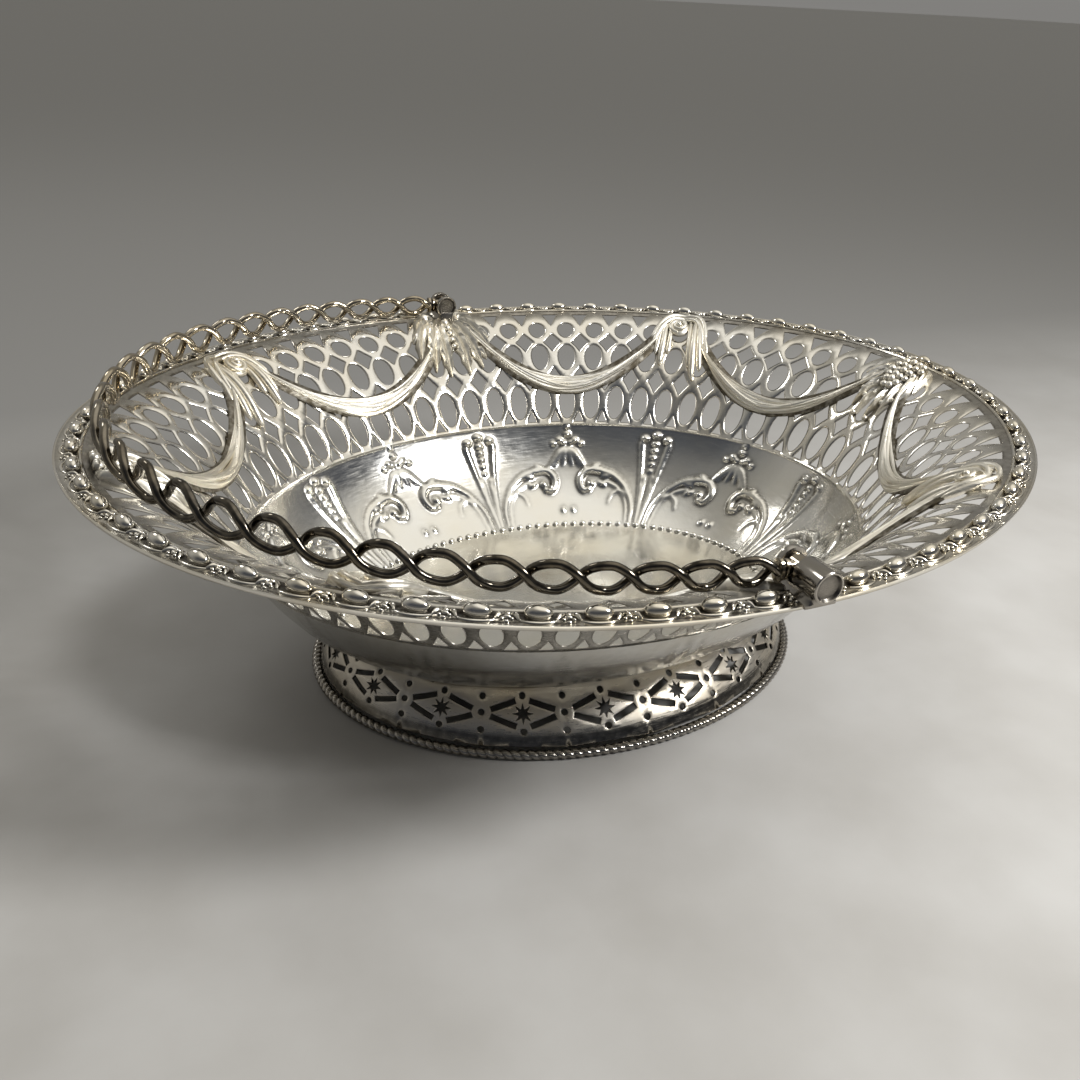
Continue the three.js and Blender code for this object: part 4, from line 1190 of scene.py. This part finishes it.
# Distance from the barrel's end, radius, and tarnish with painted shade, darkest inside the
# dished end and at the bore: a dished disc closes one end, and the other is open to the pin
CLOSED_END = [
    [CAP_DEPTH, BORE_RADIUS, 0.3],
    [CAP_DEPTH, 0.02, 0.3],
    [1.25, 0.02, 0.5],
    [1.15, 2.0, 0.5],
    [0.9, 3.5, 0.8],
    [0.3, 3.95, 0.9],
    [0.0, 4.15, 0.0],
    [0.05, 4.55, 0.0],
    [0.35, BARREL_RADIUS, 0.0],
]
OPEN_END = [
    [0.4, BARREL_RADIUS, 0.0],
    [0.08, BARREL_RADIUS - 0.15, 0.0],
    [0.0, BARREL_RADIUS - 0.5, 0.2],
    [0.0, BORE_RADIUS, 0.9],
]


def add_barrel(shape, way, bored, closed):
    """A fixed knuckle, from its end with the bore to the closed one."""
    step = math.copysign(1, closed - bored)
    profile = [[closed - step * back, *rest] for back, *rest in CLOSED_END]
    profile += [[bored + step * back, *rest] for back, *rest in OPEN_END]
    add_turned(shape, way, profile, 48)


SADDLE_END_HEIGHT = 99.0  # under a barrel's outer end and beyond it
SADDLE_BASE = 0.9
SADDLE = [
    # y, the foot's height, half widths of foot and waist, the top's height and half width
    [150.0, 97.2, 4.4, 3.0, 98.2, 2.4],
    [149.6, 97.0, 5.2, 4.0, 99.6, 3.2],
    [147.6, 97.6, 5.4, 3.9, 101.0, 3.6],
    [142.4, 97.4, 5.2, 3.6, 101.0, 3.4],
    [141.6, 97.2, 5.0, 3.5, 99.8, 3.0],
    [136.2, 96.8, 4.4, 3.4, 99.8, 3.0],
    [135.8, 96.6, 4.2, 3.4, 101.0, 3.4],
    [134.2, 96.2, 3.8, 3.2, 101.0, 3.2],
    [133.2, 95.8, 3.2, 2.4, 98.6, 1.6],
]


def make_bracket(place, way):
    shape = Shape()
    end = BARREL_OUTER_END[place]
    add_barrel(shape, way, KNUCKLE_INNER_END - HINGE_ROOM, BARREL_INNER_END)
    add_barrel(shape, way, KNUCKLE_OUTER_END + HINGE_ROOM, end)
    sections = []
    for y, low, foot_half, waist, high, top_half in SADDLE:
        if y > end - 1.0:
            high = min(high, SADDLE_END_HEIGHT)
        base = low + SADDLE_BASE
        levels = [low, base, mix(base, high, 0.45), high]
        halves = [foot_half, foot_half, waist, top_half]
        left = [[-half, way * y, z] for half, z in zip(halves, levels)]
        right = [[half, way * y, z] for half, z in zip(halves, levels)]
        sections.append(left + right[::-1])
    add_sweep(shape, np.array(sections), tarnish=0.25)
    name = "hinge_bracket_" + place
    make_piece(name + "_saddle", shape, HINGE_SILVER, "silver_cast", "basket", name)


def make_pin(place, way):
    shape = Shape()
    depth = CAP_DEPTH + PIN_ROOM
    start, end = BARREL_INNER_END + depth, BARREL_OUTER_END[place] - depth
    add_turned(shape, way, chamfered(start, end, 0.05, PIN_RADIUS, 0.2, 0.2), 24)
    name = "hinge_pin_" + place
    make_piece(name + "_turned", shape, PIN_STEEL, "hinge_pin", "basket", name)


COLLAR_SIDES = 20
COLLAR = [
    # reach from the hinge axis, half thickness along the axis, half height, and tarnish with
    # painted shade, darkest in the groove between the two rings
    [2.6, 2.1, 2.6, 0.2],
    [4.2, 2.1, 2.5, 0.2],
    [4.7, 2.4, 3.2, 0],
    [5.7, 2.4, 3.2, 0],
    [6.0, 1.9, 2.4, 1],
    [6.5, 1.9, 2.4, 1],
    [6.8, 2.5, 3.6, 0],
    [7.7, 2.5, 3.6, 0],
    [8.0, 1.8, 2.9, 0.4],
]


def make_terminal(place, way):
    shape = Shape()
    start, end = KNUCKLE_INNER_END, KNUCKLE_OUTER_END
    add_turned(shape, way, chamfered(start, end, BORE_RADIUS, KNUCKLE_RADIUS, 0.35, 0.4), 40)
    middle = np.array([0, way * (start + end) / 2, HINGE_HEIGHT])
    angle = (np.arange(COLLAR_SIDES) * TURN / COLLAR_SIDES)[:, None]
    aside, above = np.cos(angle) * Y_AXIS, np.sin(angle) * BAIL_UP
    sections = [
        middle + BAIL_OUT * reach + aside * thick + above * tall
        for reach, thick, tall, _ in COLLAR
    ]
    shade = np.repeat([tarnish for *_, tarnish in COLLAR], COLLAR_SIDES)
    add_sweep(shape, np.array(sections), tarnish=shade)
    name = "handle_terminal_" + place
    make_piece(name + "_socket", shape, HANDLE_SILVER, "silver_handle", "handle", name)


# The photograph's viewpoint, and the light
VIEW_AZIMUTH, VIEW_ELEVATION, VIEW_ROLL = (math.radians(a) for a in (-26.72, 26.99, 3.2145))
VIEW_TARGET = np.array([1.35, 18.43, 35.65])
VIEW_DISTANCE = 454.2
FRAME_PIXELS = 1080
FOCAL_PIXELS, SHIFT_PIXELS = 1088.47, 6.4
SENSOR = 36.0


def make_camera():
    az, el, roll = VIEW_AZIMUTH, VIEW_ELEVATION, VIEW_ROLL
    back = np.array([math.sin(az) * math.cos(el), -math.cos(az) * math.cos(el), math.sin(el)])
    level = np.array([math.cos(az), math.sin(az), 0])
    above = np.cross(back, level)
    right = math.cos(roll) * level + math.sin(roll) * above
    up = math.cos(roll) * above - math.sin(roll) * level
    data = bpy.data.cameras.new("camera")
    data.sensor_width = SENSOR
    data.lens = SENSOR * FOCAL_PIXELS / FRAME_PIXELS
    data.shift_x = -SHIFT_PIXELS / FRAME_PIXELS
    data.clip_start, data.clip_end = 0.01, 50
    camera = bpy.data.objects.new("camera", data)
    place = (VIEW_TARGET + back * VIEW_DISTANCE) * MM
    axes = np.column_stack([right, up, back, place])
    camera.matrix_world = Matrix(np.vstack([axes, [0, 0, 0, 1]]))
    bpy.context.scene.collection.objects.link(camera)
    bpy.context.scene.camera = camera


FLOOR_HALF = 30.0
# The floor's colour darkens behind the basket: painted shade for the basket's shadow and the
# lamp's falloff
STONE, PALE_STONE, FAR_FLOOR_SHADE = (0.42, 0.405, 0.38), (0.52, 0.51, 0.49), (0.27, 0.265, 0.255)
FADE_START, FADE_END = 0.02, 0.34  # where the floor turns darker behind the basket


def make_floor():
    mesh = bpy.data.meshes.new("floor")
    signs = ((-1, -1), (1, -1), (1, 1), (-1, 1))
    corners = [(x * FLOOR_HALF, y * FLOOR_HALF, 0) for x, y in signs]
    mesh.from_pydata(corners, [], [(0, 1, 2, 3)])
    material = bpy.data.materials.new("floor")
    material.use_nodes = True
    tree = material.node_tree
    shader = tree.nodes["Principled BSDF"]
    place = node(tree, "ShaderNodeTexCoord").outputs["Object"]
    cloud = ranged(tree, noise(tree, place, 14.0, 8.0), 0.3, 0.7, 0.0, 1.0)
    behind = node(tree, "ShaderNodeSeparateXYZ", {0: place}).outputs["Y"]
    fade = ranged(tree, behind, FADE_START, FADE_END, 0.0, 1.0)
    colour = blend(tree, fade, blend(tree, cloud, STONE, PALE_STONE), FAR_FLOOR_SHADE)
    tree.links.new(colour, shader.inputs["Base Color"])
    shader.inputs["Roughness"].default_value = 0.75
    mesh.materials.append(material)
    floor = bpy.data.objects.new("floor", mesh)
    bpy.context.scene.collection.objects.link(floor)


LAMPS = [
    # name, place, size and power
    ["key", (0.46, -0.46, 0.6), 0.2, 7.0],
    ["back", (-0.45, 0.8, 1.0), 0.3, 1.6],
]
# The world's brightness by height, from straight down at 0 to straight up at 1
SKY_BEHIND_CAMERA = [
    (0.5, (0.15, 0.15, 0.15)),
    (0.58, (0.12, 0.121, 0.125)),
    (0.68, (0.05, 0.055, 0.07)),
    (0.82, (0.09, 0.095, 0.105)),
    (1.0, (0.3, 0.29, 0.27)),
]
SKY_BEYOND = [
    (0.5, (0.22, 0.215, 0.205)),
    (0.65, (0.34, 0.33, 0.31)),
    (0.8, (0.36, 0.35, 0.32)),
    (1.0, (0.36, 0.35, 0.32)),
]
# A broad soft light overhead
PANEL_DIRECTION = (0.36, -0.02, 0.93)
PANEL_COLOUR = (1.0, 0.97, 0.9)
PANEL_EDGE = (0.72, 0.93)


def sky_colour(tree, height, stops):
    ramp = node(tree, "ShaderNodeValToRGB", {0: height})
    for _ in range(len(stops) - 2):
        ramp.color_ramp.elements.new(0.5)
    for element, (place, colour) in zip(ramp.color_ramp.elements, stops):
        element.position, element.color = place, (*colour, 1)
    return ramp.outputs[0]


def make_lights():
    for name, place, size, power in LAMPS:
        data = bpy.data.lights.new(name, "AREA")
        data.shape, data.size, data.energy = "DISK", size, power
        lamp = bpy.data.objects.new(name, data)
        lamp.location = place
        lamp.rotation_euler = Vector(place).to_track_quat("Z", "Y").to_euler()
        bpy.context.scene.collection.objects.link(lamp)
    world = bpy.data.worlds.new("studio")
    world.use_nodes = True
    tree = world.node_tree
    direction = node(tree, "ShaderNodeTexCoord").outputs["Generated"]
    parts = node(tree, "ShaderNodeSeparateXYZ", {0: direction})
    height = ranged(tree, parts.outputs["Z"], -1.0, 1.0, 0.0, 1.0)
    beyond = ranged(tree, parts.outputs["Y"], -0.3, 0.4, 0.0, 1.0)
    skies = [sky_colour(tree, height, stops) for stops in (SKY_BEHIND_CAMERA, SKY_BEYOND)]
    sky = blend(tree, beyond, *skies)
    inputs = {0: direction, 1: PANEL_DIRECTION}
    towards = node(tree, "ShaderNodeVectorMath", inputs, operation="DOT_PRODUCT").outputs["Value"]
    lit = blend(tree, ranged(tree, towards, *PANEL_EDGE, 0.0, 1.0), sky, PANEL_COLOUR)
    tree.links.new(lit, tree.nodes["Background"].inputs["Color"])
    bpy.context.scene.world = world


def main():
    make_camera()
    make_floor()
    make_lights()
    bpy.context.scene.view_settings.view_transform = "Standard"
    make_pierced_wall()
    make_border()
    make_dish_side()
    make_dish_floor()
    for i in range(SWAGS):
        make_swag(i)
    for k in range(4):
        make_volute_mount(f"volute_mount_{k + 1}", (2 * k + 1) * MOUNT_STEP, (-1, 1)[k % 2])
    make_leaf_mount("leaf_mount_back", 2 * MOUNT_STEP + 0.15)
    make_leaf_mount("leaf_mount_front", 6 * MOUNT_STEP)
    make_berry_mount("berry_mount_right", 0, 5)
    make_berry_mount("berry_mount_left", 4 * MOUNT_STEP, 6)
    make_foot()
    make_rope()
    make_wire("a", 1)
    make_wire("b", -1)
    for place, way in (("front", -1), ("back", 1)):
        make_bracket(place, way)
        make_pin(place, way)
        make_terminal(place, way)


main()
